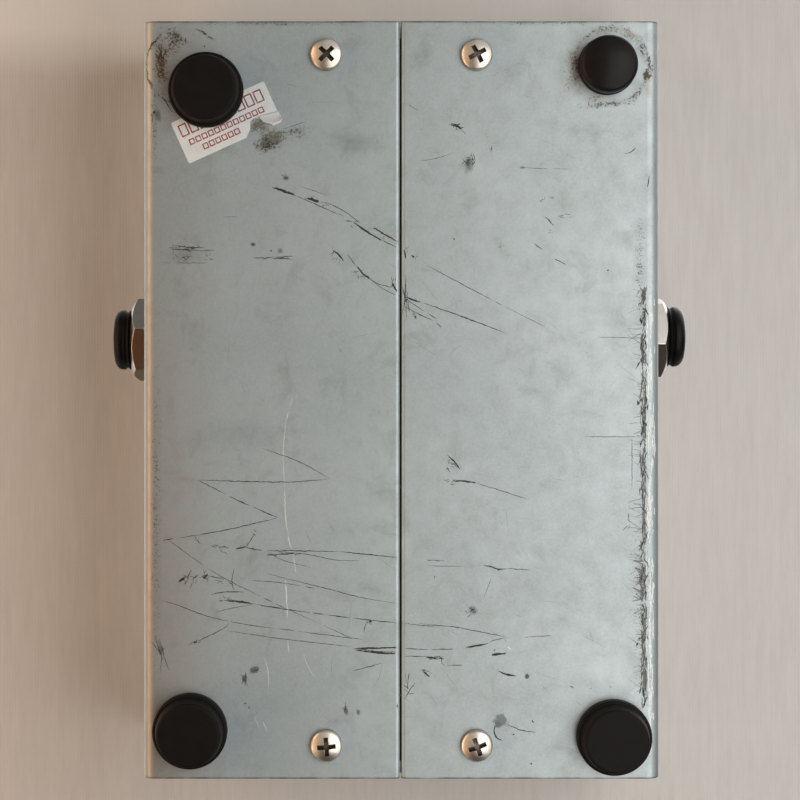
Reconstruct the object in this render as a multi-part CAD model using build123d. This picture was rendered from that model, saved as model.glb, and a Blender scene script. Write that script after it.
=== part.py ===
from build123d import *
import math
import os

# Direct injection box: a folded sheet-metal sleeve closed by two end plates.
# Frame: +Z up, standing on its feet at Z = 0, origin under the middle of the case.
# +Y is the rear (output connector), +X is the right-hand side (input jack). Millimetres.

# ---------------------------------------------------------------- driving sizes
case_width = 97.0
case_length = 142.0
case_height = 45.0
sheet = 1.2
case_bend = 2.4
seam_gap = 0.3
seam_x = 0.2
seam_edge_round = 0.7

foot_height = 5.5
foot_radius = 7.0
foot_crown_radius = 5.9
foot_flange = 2.1
foot_rim_round = 0.45
foot_pad_thickness = 0.3
foot_pad_radius = 6.2
foot_insets = {
    "foot_rear_right": (1, 1, 11.9, 13.0),
    "foot_front_right": (1, -1, 8.9, 9.2),
    "foot_front_left": (-1, -1, 8.8, 8.0),
}
spare_foot_inset = (-1, 1, 10.0, 8.4)
spare_foot_radius = 5.5
spare_foot_shoulder = 0.65
spare_foot_shoulder_rise = 1.05
spare_foot_crown = 1.1
spare_foot_pad_radius = 4.8

plate_recess = 0.5
plate_side_gap = 0.15
plate_top_gap = 0.3
plate_bend = 1.5
plate_corner = 1.6
plate_flange = 8.0
plate_lip = 2.5
plate_tab_depth = 11.5
plate_tab_width = 14.0
plate_corner_relief = 3.5

case_screw_x = 14.1
case_screw_inset = 6.3
case_screw_length = 7.0
m3_radius = 1.5
m3_head_radius = 3.0
m3_head_height = 2.0
m3_nut_flats = 5.5
m3_nut_height = 2.4
thread_clearance = 0.05
hole_clearance = 0.2
case_screw_turns = {(1, 1): 45.0, (-1, 1): 28.0, (1, -1): 5.0, (-1, -1): 20.0}

input_jack_along = 11.1
link_jack_along = 11.7
jack_height = 20.0
jack_bush_radius = 5.9
jack_bush_length = 7.6
jack_bore_radius = 3.25
jack_bush_round = 1.6
jack_mouth_chamfer = 0.5
jack_thread_pitch = 1.0
jack_thread_depth = 0.4
jack_body_side = 16.0
jack_body_depth = 24.0
jack_cavity_side = 10.0
jack_front_wall = 5.8
jack_washer_radius = 7.4
jack_washer_thickness = 0.7
jack_washer_break = 0.3
jack_nut_flats = 14.6
jack_nut_thickness = 3.4
jack_nut_chamfer = 0.6
jack_nut_crown = 1.15
jack_nut_face_radius = 6.6
jack_nut_turns = {"input_jack": -14.0, "link_jack": -21.0}
jack_contact_width = 3.2
jack_contact_thickness = 0.4
jack_tag_length = 6.0
jack_bush_clearance = 0.15

xlr_flange_width = 26.0
xlr_flange_height = 31.0
xlr_flange_thickness = 1.8
xlr_corner = 3.0
xlr_cup_radius = 11.7
xlr_cavity_radius = 9.5
xlr_cup_depth = 16.5
xlr_insert_thickness = 5.3
xlr_pin_radius = 1.2
xlr_pin_circle = 3.95
xlr_pin_angles = (-90.0, 25.0, 155.0)
xlr_pin_recess = 1.5
xlr_solder_cup_length = 5.5
xlr_solder_cup_bore = 0.8
xlr_solder_cup_deep = 3.0
xlr_screw_inset = 3.5
xlr_screw_x = xlr_flange_width / 2 - xlr_screw_inset
xlr_screw_y = xlr_flange_height / 2 - xlr_screw_inset
xlr_screw_head_radius = 2.8
xlr_screw_length = 8.0
xlr_key_width = 2.0
xlr_key_depth = 1.1

ground_switch_x = 30.0
pad_switch_x = 0.0
switch_travel = 3.5
switch_screw_spacing = 19.0
switch_ear_end = 2.0
switch_ear_length = switch_screw_spacing + 2 * switch_ear_end
switch_width = 8.0
switch_metal = 0.6
switch_body_length = 13.0
switch_body_depth = 5.4
switch_knob_length = 3.6
switch_knob_width = 3.2
switch_knob_proud = 1.8
switch_knob_groove = 0.3
switch_slot_clearance = 0.3
switch_carriage_length = 7.6
switch_carriage_width = 6.4
switch_carriage_height = 2.6
switch_carriage_gap = 0.2
switch_base_thickness = 1.2
switch_pin_pitch = 3.5
switch_pin_thickness = 0.5
switch_pin_width = 1.6
switch_pin_inside = 0.6
switch_pin_outside = 5.0
switch_wiper_length = 5.2
switch_wiper_thickness = 0.4
m2_radius = 0.95
m2_head_radius = 1.8
m2_head_height = 1.2
m2_nut_flats = 4.0
m2_nut_height = 1.6
m2_length = 5.2

board_width = 60.0
board_length = 52.0
board_thickness = 1.6
board_lift = 8.5
board_front_gap = 3.3
board_bracket_x = 22.0
board_bracket_width = 10.0
board_bracket_foot = 11.0
board_bracket_rise = 11.0
board_screw_inset = 4.0
board_post_x = 26.0
board_post_inset = 12.0
board_post_radius = 3.0
board_peg_radius = 1.45
board_peg_rise = 1.4
board_rivet_rise = 7.0
rivet_radius = 1.5
rivet_head_radius = 2.75
rivet_head_height = 1.0

core_width = 30.0
core_height = 25.0
core_stack = 12.0
core_leg = 5.0
core_inset = 26.0
bobbin_wall = 0.8
bobbin_clearance = 0.1
winding_bulge = 4.5
strap_thickness = 0.8
strap_foot = 7.0
strap_screw_out = 4.0
m25_radius = 1.2
m25_head_radius = 2.2
m25_head_height = 1.5
m25_nut_flats = 4.5
m25_nut_height = 1.8

resistor_places = ((27.0, 16.0), (27.0, 28.0), (-27.0, 16.0))
resistor_radius = 1.2
resistor_length = 6.5
resistor_pitch = 10.2
lead_radius = 0.3
capacitor_place = (-27.0, 29.0)
capacitor_size = (3.0, 7.5, 7.0)
capacitor_stand = 0.6

wire_radius = 0.6
wire_pad_inset = 5.0
pad_wire_run = 3.8

label_length = 19.15
label_height = 8.35
label_thickness = 0.1
label_corner_round = 0.4
label_inset = (5.2, 19.1)
label_turn = -24.4

# ---------------------------------------------------------------- worked-out places
case_bottom = foot_height
case_top = foot_height + case_height
case_mid_z = case_bottom + case_height / 2
floor_inside = case_bottom + sheet
plate_width = case_width - 2 * sheet - 2 * plate_side_gap
plate_height = case_height - 2 * sheet - plate_top_gap
plate_mid_z = floor_inside + plate_height / 2
plate_face_y = case_length / 2 - plate_recess
case_screw_y = case_length / 2 - case_screw_inset
jack_z = case_bottom + jack_height
board_bottom = floor_inside + board_lift
board_top = board_bottom + board_thickness
board_front_y = -plate_face_y + sheet + board_front_gap
board_rear_y = board_front_y + board_length
board_screw_y = board_front_y + board_screw_inset
board_post_y = board_rear_y - board_post_inset
wire_pad_y = board_rear_y - wire_pad_inset
core_y = board_front_y + core_inset


def corner_place(side_x, side_y, inset_x, inset_y):
    """Point near a corner of the case, given by its insets from the two edges."""
    return side_x * (case_width / 2 - inset_x), side_y * (case_length / 2 - inset_y)


foot_places = {name: corner_place(*inset) for name, inset in foot_insets.items()}
spare_foot_place = corner_place(*spare_foot_inset)
label_corner = corner_place(1, 1, *label_inset)

# Local frames: local Z points out of the case, local Y points up.
rear_face = Plane(origin=(0, plate_face_y, plate_mid_z), x_dir=(-1, 0, 0), z_dir=(0, 1, 0))
front_face = Plane(origin=(0, -plate_face_y, plate_mid_z), x_dir=(1, 0, 0), z_dir=(0, -1, 0))
right_wall = Plane(origin=(case_width / 2, input_jack_along, jack_z), x_dir=(0, 1, 0), z_dir=(1, 0, 0))
left_wall = Plane(origin=(-case_width / 2, link_jack_along, jack_z), x_dir=(0, -1, 0), z_dir=(-1, 0, 0))


# ---------------------------------------------------------------- helpers
def block(x_span, y_span, z_span):
    """Axis-aligned box from (low, high) pairs."""
    size = [high - low for low, high in (x_span, y_span, z_span)]
    middle = [(high + low) / 2 for low, high in (x_span, y_span, z_span)]
    return Pos(*middle) * Box(*size)


def rod(radius, low, high):
    """Cylinder on the local Z axis, from low to high."""
    return Pos(0, 0, (low + high) / 2) * Cylinder(radius, high - low)


def taper(low_radius, high_radius, low, high):
    """Cone frustum on the local Z axis, from low to high."""
    return Pos(0, 0, (low + high) / 2) * Cone(low_radius, high_radius, high - low)


def prism(outline, low, high):
    """A flat outline in local XY, extruded from low to high."""
    return Pos(0, 0, low) * extrude(outline, amount=high - low)


def turned(*points):
    """Solid of revolution about local Z, from (radius, z) points of a closed half-outline."""
    outline = make_face(Polyline(*[(r, 0, z) for r, z in points], close=True))
    return revolve(outline, axis=Axis.Z)


def hexagon(flats, turn=0.0):
    """Regular hexagon given by its width across flats."""
    return RegularPolygon(flats / math.sqrt(3), 6, rotation=turn)


def hex_nut(flats, hole_radius, low, high):
    """Plain hexagon nut on the local Z axis."""
    return prism(hexagon(flats), low, high) - rod(hole_radius, low - 1, high + 1)


def pan_screw(radius, head_radius, head_height, length):
    """Domed pan-head screw: the head stands on local Z = 0 and the shank runs down from it."""
    side_top = (head_radius, 0, 0.3 * head_height)
    rim = (0.968 * head_radius, 0, 0.48 * head_height)
    shoulder = (0.88 * head_radius, 0, 0.62 * head_height)
    crown = (0.44 * head_radius, 0, 0.91 * head_height)
    outline = [
        Line((0, 0, 0), (head_radius, 0, 0)),
        Line((head_radius, 0, 0), side_top),
        ThreePointArc(side_top, rim, shoulder),
        ThreePointArc(shoulder, crown, (0, 0, head_height)),
        Line((0, 0, head_height), (0, 0, 0)),
    ]
    return revolve(make_face(outline), axis=Axis.Z) + rod(radius, -length, 0)


def cross_recess(span, wing, top, depth, turn):
    """Cross-shaped driver recess cut down from top."""
    arms = prism(Rectangle(span, wing) + Rectangle(wing, span), top - depth, top + 1)
    core = taper(0.1 * span, 0.2 * span, top - depth, top)
    return Rot(0, 0, turn) * (arms + core)


def slot_recess(head_radius, wing, top, depth):
    """Straight driver slot across a head."""
    return block((-head_radius, head_radius), (-wing / 2, wing / 2), (top - depth, top + 1))


def placed(frame, *pieces):
    """Pieces given in a local frame, moved to their place in the case."""
    return [frame.location * piece for piece in pieces]


def wire(*points):
    """Round wire along a route; each corner is as large as its two runs allow."""
    corners = [Vector(*p) for p in points]
    radii = []
    for before, corner, after in zip(corners, corners[1:], corners[2:]):
        run_in = corner - before
        run_out = after - corner
        half_turn = math.radians(run_in.get_angle(run_out)) / 2
        radii.append(0.45 * min(run_in.length, run_out.length) / math.tan(half_turn))
    route = FilletPolyline(*corners, radius=radii)
    section = Plane(origin=route @ 0, z_dir=route % 0) * Circle(wire_radius)
    return sweep(section, path=route)


def save(name, *solids):
    """Writes one node; several solids stay separate solids of that node."""
    shape = solids[0] if len(solids) == 1 else Compound(children=list(solids))
    export_step(shape, f"parts/{name}.step")


# ---------------------------------------------------------------- case
def make_sleeve():
    outside = RectangleRounded(case_width, case_height, case_bend)
    inside = RectangleRounded(case_width - 2 * sheet, case_height - 2 * sheet, case_bend - sheet)
    seam = Pos(seam_x, -case_height / 2) * Rectangle(seam_gap, 3 * sheet)
    profile = outside - inside - seam
    near_seam = (seam_x - seam_gap, seam_x + seam_gap)
    lips = profile.vertices().filter_by_position(Axis.X, *near_seam).group_by(Axis.Y)[0]
    profile = fillet(lips, seam_edge_round)
    body = extrude(Plane.XZ * profile, amount=case_length / 2, both=True)
    sleeve = Pos(0, 0, case_mid_z) * body
    for side_x in (-1, 1):
        for side_y in (-1, 1):
            hole = rod(m3_radius + hole_clearance, case_bottom - 1, floor_inside + 1)
            sleeve -= Pos(side_x * case_screw_x, side_y * case_screw_y) * hole
    bush_hole = rod(jack_bush_radius + jack_bush_clearance, -2 * sheet, sheet)
    for wall in (right_wall, left_wall):
        sleeve -= wall.location * bush_hole
    return sleeve


def make_end_plate():
    """Tray with its face at local Z = 0 and its flanges running inwards."""
    depth = plate_tab_depth
    tray = prism(RectangleRounded(plate_width, plate_height, plate_corner), -depth, 0)
    tray = fillet(tray.faces().sort_by(Axis.Z)[-1].edges(), plate_bend)
    half_in = plate_width / 2 - sheet
    half_up = plate_height / 2 - sheet
    hollow = block((-half_in, half_in), (-half_up, half_up), (-depth - 5, -sheet))
    hollow = fillet(hollow.faces().sort_by(Axis.Z)[-1].edges(), plate_bend - sheet)
    plate = tray - hollow
    for side_x in (-1, 1):
        for side_y in (-1, 1):
            relief = Box(2 * plate_corner_relief, 2 * plate_corner_relief, 2 * depth)
            plate -= Pos(side_x * plate_width / 2, side_y * plate_height / 2, -depth - plate_bend) * relief
    wide = plate_width
    plate -= block((-wide, wide), (0, plate_height), (-2 * depth, -plate_flange))
    plate -= block((-wide, -wide / 2 + 2 * sheet), (-wide, wide), (-2 * depth, -plate_flange))
    plate -= block((wide / 2 - 2 * sheet, wide), (-wide, wide), (-2 * depth, -plate_flange))
    tab_in = case_screw_x - plate_tab_width / 2
    tab_out = case_screw_x + plate_tab_width / 2
    below = (-plate_height, -half_up + sheet)
    for low, high in ((-tab_in, tab_in), (tab_out, half_in), (-half_in, -tab_out)):
        plate -= block((low, high), below, (-2 * depth, -plate_lip))
    for side_x in (-1, 1):
        place = Pos(side_x * case_screw_x, -plate_height / 2, -case_screw_inset + plate_recess)
        upright = place * Rot(-90, 0, 0)
        plate += upright * rod(m3_radius + 1.0, sheet, 2 * sheet)
        plate -= upright * rod(m3_radius + thread_clearance, -1, 3 * sheet)
    return plate


def cut_switch_holes(plate, switch_x):
    """Slot and two screw holes for a slide switch."""
    slot = Rectangle(
        switch_knob_length + switch_travel + 2 * switch_slot_clearance,
        switch_knob_width + 2 * switch_slot_clearance,
    )
    plate -= Pos(switch_x, 0) * prism(slot, -2 * sheet, sheet)
    for side in (-1, 1):
        place = Pos(switch_x + side * switch_screw_spacing / 2, 0)
        plate -= place * rod(m2_radius + hole_clearance, -2 * sheet, sheet)
    return plate


def make_case():
    save("sleeve", make_sleeve())

    front = cut_switch_holes(make_end_plate(), pad_switch_x)
    for side in (-1, 1):
        hole = rod(rivet_radius + thread_clearance, -2 * sheet, sheet)
        front -= Pos(side * board_bracket_x, rivet_z() - plate_mid_z) * hole
    save("front_plate", *placed(front_face, front))

    rear = cut_switch_holes(make_end_plate(), -ground_switch_x)
    rear -= rod(xlr_cup_radius + hole_clearance, -2 * sheet, sheet)
    for side in (-1, 1):
        hole = rod(m3_radius + hole_clearance, -2 * sheet, sheet)
        rear -= Pos(-side * xlr_screw_x, side * xlr_screw_y) * hole
    save("rear_plate", *placed(rear_face, rear))

    screws = []
    for (side_x, side_y), turn in case_screw_turns.items():
        screw = pan_screw(m3_radius, m3_head_radius, m3_head_height, case_screw_length)
        screw -= cross_recess(3.5, 0.85, m3_head_height, 1.3, turn)
        place = Pos(side_x * case_screw_x, side_y * case_screw_y, case_bottom)
        screws.append(place * Rot(180, 0, 0) * screw)
    save("case_screws", *screws)


# ---------------------------------------------------------------- feet and label
def make_foot():
    """Round rubber foot on local Z = 0, with a wide flange at its top."""
    top = foot_height - foot_pad_thickness
    flange_low = top - foot_flange
    waist = (foot_crown_radius + foot_radius) / 2
    foot = turned(
        (0, 0),
        (foot_crown_radius, 0),
        (waist, flange_low),
        (foot_radius, flange_low),
        (foot_radius, top),
        (0, top),
    )
    circles = foot.edges().filter_by(GeomType.CIRCLE)
    foot = fillet(circles.group_by(Axis.Z)[0], 0.6)
    rim = foot.edges().filter_by(GeomType.CIRCLE).group_by(SortBy.RADIUS)[-1].sort_by(Axis.Z)[0]
    return fillet(rim, foot_rim_round)


def make_spare_foot():
    """Smaller domed bumper that stands in for a lost foot."""
    top = foot_height - foot_pad_thickness
    wall = spare_foot_radius - 0.15
    crown = wall - spare_foot_shoulder
    dome = (crown**2 + spare_foot_crown**2) / (2 * spare_foot_crown)
    dome_mid = dome - math.sqrt(dome**2 - crown**2 / 4)
    wall_low = (wall, 0, spare_foot_crown + spare_foot_shoulder_rise)
    shoulder_z = spare_foot_crown + 0.41 * spare_foot_shoulder_rise
    shoulder = (wall - 0.27 * spare_foot_shoulder, 0, shoulder_z)
    outline = [
        Line((0, 0, top), (spare_foot_radius, 0, top)),
        Line((spare_foot_radius, 0, top), (spare_foot_radius, 0, top - 0.7)),
        Line((spare_foot_radius, 0, top - 0.7), (wall, 0, top - 0.9)),
        Line((wall, 0, top - 0.9), wall_low),
        ThreePointArc(wall_low, shoulder, (crown, 0, spare_foot_crown)),
        ThreePointArc((crown, 0, spare_foot_crown), (crown / 2, 0, dome_mid), (0, 0, 0)),
        Line((0, 0, 0), (0, 0, top)),
    ]
    return revolve(make_face(outline), axis=Axis.Z)


def make_feet():
    foot = make_foot()
    pads = []
    top = foot_height - foot_pad_thickness
    for name, (x, y) in foot_places.items():
        save(name, Pos(x, y) * foot)
        pads.append(Pos(x, y) * rod(foot_pad_radius, top, foot_height))
    save("foot_rear_left", Pos(*spare_foot_place) * make_spare_foot())
    pads.append(Pos(*spare_foot_place) * rod(spare_foot_pad_radius, top, foot_height))
    save("foot_adhesive_pads", *pads)


def make_label():
    """Paper inspection label, torn at one edge and cut round by the foot stuck over it."""
    sheet_outline = RectangleRounded(label_length, label_height, label_corner_round)
    sheet_outline = Pos(label_length / 2, -label_height / 2) * sheet_outline
    low = -label_height - 1
    tear = Polygon(
        (11.5, low),
        (11.8, -label_height),
        (13.1, -7.2),
        (13.7, -5.9),
        (14.5, -5.6),
        (15.8, -6.2),
        (15.8, -6.9),
        (17.2, -8.0),
        (17.5, low),
        align=None,
    )
    torn = sheet_outline - tear
    flat = Location((label_corner[0], label_corner[1], 0), (0, 0, 0))
    # The label reads from below, so its long edge runs towards -X.
    turned_over = flat * Rot(0, 0, label_turn) * Rot(0, 180, 0)
    solid = turned_over * extrude(torn, amount=label_thickness)
    solid = Pos(0, 0, case_bottom) * solid
    foot_x, foot_y = foot_places["foot_rear_right"]
    solid -= Pos(foot_x, foot_y) * rod(foot_pad_radius + 0.1, 0, case_top)
    save("inspection_label", solid)


# ---------------------------------------------------------------- jacks
def make_jack_body():
    """Moulded jack housing; local Z = 0 is the outer face of the case wall."""
    seat = -sheet
    first_thread = jack_washer_thickness
    outline = [(0, seat), (jack_bush_radius, seat), (jack_bush_radius, first_thread)]
    threads = int((jack_bush_length - first_thread - jack_bush_round) / jack_thread_pitch)
    root = jack_bush_radius - jack_thread_depth
    for turn in range(threads):
        z = first_thread + turn * jack_thread_pitch
        outline.append((root, z + jack_thread_pitch / 2))
        outline.append((jack_bush_radius, z + jack_thread_pitch))
    outline.append((jack_bush_radius, jack_bush_length))
    outline.append((0, jack_bush_length))
    bush = turned(*outline)
    nose = bush.edges().filter_by(GeomType.CIRCLE).sort_by(Axis.Z)[-1]
    bush = fillet(nose, jack_bush_round)

    back = seat - jack_body_depth
    housing = prism(RectangleRounded(jack_body_side, jack_body_side, 0.8), back, seat)
    body = bush + housing
    body -= rod(jack_bore_radius, back, jack_bush_length + 1)
    mouth_low = jack_bush_length - jack_mouth_chamfer
    body -= taper(jack_bore_radius, jack_bore_radius + jack_mouth_chamfer, mouth_low, jack_bush_length)
    cavity = Rectangle(jack_cavity_side, jack_cavity_side)
    return body - prism(cavity, back - 1, seat - jack_front_wall)


def make_jack_contact(bump_z, end_z):
    """Sprung strip along the cavity floor; the bump presses on an inserted plug."""
    floor = -jack_cavity_side / 2
    rise = 1.1
    tag_z = -sheet - jack_body_depth - jack_tag_length
    spine = [(tag_z, 0), (bump_z - 3.0, 0), (bump_z, rise), (end_z, 0.2)]
    lower = [(floor + y, z) for z, y in spine]
    upper = [(y + jack_contact_thickness, z) for y, z in reversed(lower)]
    outline = make_face(Polyline(*[(0, y, z) for y, z in lower + upper], close=True))
    return extrude(outline, amount=jack_contact_width / 2, dir=(1, 0, 0), both=True)


def make_jack_nut(turn):
    low = jack_washer_thickness
    high = low + jack_nut_thickness
    blank = prism(hexagon(jack_nut_flats, turn), low, high)
    corner = jack_nut_flats / math.sqrt(3)
    turned_blank = turned(
        (0, low),
        (jack_nut_flats / 2 - 0.1, low),
        (corner + 0.1, low + jack_nut_chamfer),
        (corner + 0.1, high - jack_nut_crown),
        (jack_nut_face_radius, high),
        (0, high),
    )
    nut = blank & turned_blank
    return nut - rod(jack_bush_radius + 0.1, low - 1, high + 1)


def make_jacks():
    back = -sheet - jack_body_depth
    tip = make_jack_contact(back + 8.0, back + 11.0)
    sleeve_contact = Rot(0, 0, 180) * make_jack_contact(back + 13.0, back + 16.0)
    hole = jack_bush_radius + jack_bush_clearance
    washer = turned(
        (hole, 0),
        (jack_washer_radius, 0),
        (jack_washer_radius, jack_washer_thickness - jack_washer_break),
        (jack_washer_radius - jack_washer_break, jack_washer_thickness),
        (hole, jack_washer_thickness),
    )
    for name, wall in (("input_jack", right_wall), ("link_jack", left_wall)):
        save(f"{name}_body", *placed(wall, make_jack_body()))
        save(f"{name}_contacts", *placed(wall, tip, sleeve_contact))
        save(f"{name}_washer", *placed(wall, washer))
        save(f"{name}_nut", *placed(wall, make_jack_nut(jack_nut_turns[name])))


# ---------------------------------------------------------------- output connector
def xlr_pin_places():
    places = []
    for angle in xlr_pin_angles:
        turn = math.radians(angle)
        places.append((xlr_pin_circle * math.cos(turn), xlr_pin_circle * math.sin(turn)))
    return places


def make_xlr():
    face = xlr_flange_thickness
    back = -xlr_cup_depth
    insert_front = back + xlr_insert_thickness

    shell = prism(RectangleRounded(xlr_flange_width, xlr_flange_height, xlr_corner), 0, face)
    shell = chamfer(shell.faces().sort_by(Axis.Z)[-1].edges(), 0.4)
    shell += rod(xlr_cup_radius, back, 0)
    shell -= rod(xlr_cavity_radius, back - 1, face + 1)
    key_across = (-xlr_key_width / 2, xlr_key_width / 2)
    key_up = (xlr_cavity_radius - 1, xlr_cavity_radius + xlr_key_depth)
    shell -= block(key_across, key_up, (insert_front, face + 1))
    sink = taper(m3_radius + 0.1, xlr_screw_head_radius + 0.1, 0, face)
    for side in (-1, 1):
        shell -= Pos(-side * xlr_screw_x, side * xlr_screw_y) * sink
    save("xlr_shell", *placed(rear_face, shell))

    insert = rod(xlr_cavity_radius - 0.05, back, insert_front)
    for x, y in xlr_pin_places():
        insert -= Pos(x, y) * rod(xlr_pin_radius + 0.02, back - 1, insert_front + 1)
    save("xlr_insert", *placed(rear_face, insert))

    pin = rod(xlr_pin_radius, back - xlr_solder_cup_length, face - xlr_pin_recess)
    pin = fillet(pin.edges().filter_by(GeomType.CIRCLE).sort_by(Axis.Z)[-1], 0.7)
    cup_end = back - xlr_solder_cup_length
    pin -= rod(xlr_solder_cup_bore, cup_end - 1, cup_end + xlr_solder_cup_deep)
    save("xlr_pins", *placed(rear_face, *[Pos(x, y) * pin for x, y in xlr_pin_places()]))

    head = taper(m3_radius - thread_clearance, xlr_screw_head_radius, 0, face)
    screw = head + rod(m3_radius - thread_clearance, face - xlr_screw_length, 0)
    screw -= cross_recess(2.8, 0.7, face, 1.0, 30.0)
    nut = hex_nut(m3_nut_flats, m3_radius, -sheet - m3_nut_height, -sheet)
    places = [Pos(-side * xlr_screw_x, side * xlr_screw_y) for side in (-1, 1)]
    save("xlr_screws", *placed(rear_face, *[place * screw for place in places]))
    save("xlr_nuts", *placed(rear_face, *[place * nut for place in places]))


# ---------------------------------------------------------------- slide switches
def make_switch(name, frame, switch_x):
    """Slide switch behind an end plate; the knob rests at the low end of its travel."""
    here = Pos(switch_x, 0)
    face = -sheet
    ears_back = face - switch_metal
    box_back = ears_back - switch_body_depth
    half_in_x = switch_body_length / 2 - switch_metal
    half_in_y = switch_width / 2 - switch_metal

    bracket = prism(RectangleRounded(switch_ear_length, switch_width, 1.0), ears_back, face)
    window_x = (switch_knob_length + switch_travel) / 2 + switch_slot_clearance + 0.1
    window_y = switch_knob_width / 2 + switch_slot_clearance + 0.1
    bracket -= block((-window_x, window_x), (-window_y, window_y), (ears_back - 1, face + 1))
    bracket += prism(Rectangle(switch_body_length, switch_width), box_back, ears_back) - block(
        (-half_in_x, half_in_x), (-half_in_y, half_in_y), (box_back - 1, ears_back)
    )
    for side in (-1, 1):
        bracket -= Pos(side * switch_screw_spacing / 2, 0) * rod(m2_radius + hole_clearance, ears_back - 1, 0)
    save(f"{name}_bracket", *placed(frame, here * bracket))

    fit = 0.05
    base_front = box_back + switch_base_thickness
    base_x = half_in_x - fit
    base_y = half_in_y - fit
    base = block((-base_x, base_x), (-base_y, base_y), (box_back, base_front))
    pins = []
    for step in (-1, 0, 1):
        x = step * switch_pin_pitch
        half_t = switch_pin_thickness / 2
        half_w = switch_pin_width / 2
        pin_span = (box_back - switch_pin_outside, base_front + switch_pin_inside)
        pins.append(here * block((x - half_t, x + half_t), (-half_w, half_w), pin_span))
        slot_x = (x - half_t - 0.02, x + half_t + 0.02)
        base -= block(slot_x, (-half_w - 0.02, half_w + 0.02), (box_back - 1, base_front + 1))
    save(f"{name}_base", *placed(frame, here * base))
    save(f"{name}_pins", *placed(frame, *pins))

    rest = here * Pos(-switch_travel / 2, 0)
    top = ears_back - switch_carriage_gap
    half_x = switch_carriage_length / 2
    half_y = switch_carriage_width / 2
    knob_x = switch_knob_length / 2
    knob_y = switch_knob_width / 2
    knob = block((-half_x, half_x), (-half_y, half_y), (top - switch_carriage_height, top))
    knob += block((-knob_x, knob_x), (-knob_y, knob_y), (top, switch_knob_proud))
    for step in (-1, 0, 1):
        x = step * switch_knob_length / 4
        groove = switch_knob_groove
        knob -= block((x - groove / 2, x + groove / 2), (-knob_y, knob_y), (switch_knob_proud - groove, 3))
    save(f"{name}_knob", *placed(frame, rest * knob))

    under = top - switch_carriage_height
    half_wiper = switch_wiper_length / 2
    wiper = block((-half_wiper, half_wiper), (-half_w, half_w), (under - switch_wiper_thickness, under))
    save(f"{name}_wiper", *placed(frame, rest * wiper))

    screw = pan_screw(m2_radius, m2_head_radius, m2_head_height, m2_length)
    screw -= slot_recess(m2_head_radius, 0.5, m2_head_height, 0.6)
    nut = hex_nut(m2_nut_flats, m2_radius + thread_clearance, ears_back - m2_nut_height, ears_back)
    places = [here * Pos(side * switch_screw_spacing / 2, 0) for side in (-1, 1)]
    save(f"{name}_screws", *placed(frame, *[place * screw for place in places]))
    save(f"{name}_nuts", *placed(frame, *[place * nut for place in places]))


def switch_pin_end(frame, switch_x, step):
    """Where a wire meets a switch pin, in the case's frame."""
    depth = sheet + switch_metal + switch_body_depth + switch_pin_outside
    end = frame.location * Pos(switch_x + step * switch_pin_pitch, 0, -depth)
    return end.position


# ---------------------------------------------------------------- circuit board
def rivet_z():
    return board_bottom - sheet + board_rivet_rise


def make_board():
    across = (-board_width / 2, board_width / 2)
    board = block(across, (board_front_y, board_rear_y), (board_bottom, board_top))
    screw_hole = rod(m3_radius + hole_clearance, 0, case_top)
    peg_hole = rod(board_peg_radius + thread_clearance, 0, case_top)
    strap_hole = rod(m25_radius + hole_clearance, 0, case_top)
    posts = []
    for side in (-1, 1):
        board -= Pos(side * board_bracket_x, board_screw_y) * screw_hole
        board -= Pos(side * board_post_x, board_post_y) * peg_hole
        board -= Pos(side * strap_screw_x(), core_y) * strap_hole
        post = rod(board_post_radius, floor_inside, board_bottom)
        post += rod(board_peg_radius, board_bottom, board_top + board_peg_rise)
        posts.append(Pos(side * board_post_x, board_post_y) * post)
    save("circuit_board", board)
    save("board_posts", *posts)

    wall_y = -plate_face_y + sheet
    leg_low = board_bottom - sheet
    brackets, rivets, screws, nuts = [], [], [], []
    for side in (-1, 1):
        x = side * board_bracket_x
        across = (x - board_bracket_width / 2, x + board_bracket_width / 2)
        bracket = block(across, (wall_y, wall_y + sheet), (leg_low, leg_low + board_bracket_rise))
        bracket += block(across, (wall_y, wall_y + board_bracket_foot), (leg_low, board_bottom))
        bracket -= Pos(x, board_screw_y) * rod(m3_radius + hole_clearance, 0, board_bottom + 1)
        through = Plane(origin=(x, wall_y, rivet_z()), x_dir=(1, 0, 0), z_dir=(0, -1, 0))
        bracket -= through.location * rod(rivet_radius + thread_clearance, -2 * sheet, sheet)
        brackets.append(bracket)
        rivet = rod(rivet_radius, -sheet, sheet)
        rivet += rod(rivet_head_radius, sheet, sheet + rivet_head_height)
        rivet += rod(rivet_head_radius - 0.4, -sheet - rivet_head_height, -sheet)
        rim = rivet.edges().filter_by(GeomType.CIRCLE).sort_by(Axis.Z)[-1]
        rivets.append(through.location * fillet(rim, 0.7 * rivet_head_height))
        screw = pan_screw(m3_radius - thread_clearance, rivet_head_radius, 1.8, 6.0)
        screw -= cross_recess(2.8, 0.7, 1.8, 1.0, 15.0)
        screws.append(Pos(x, board_screw_y, board_top) * screw)
        nut = hex_nut(m3_nut_flats, m3_radius, leg_low - m3_nut_height, leg_low)
        nuts.append(Pos(x, board_screw_y) * nut)
    save("board_brackets", *brackets)
    save("board_rivets", *rivets)
    save("board_screws", *screws)
    save("board_nuts", *nuts)


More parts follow.
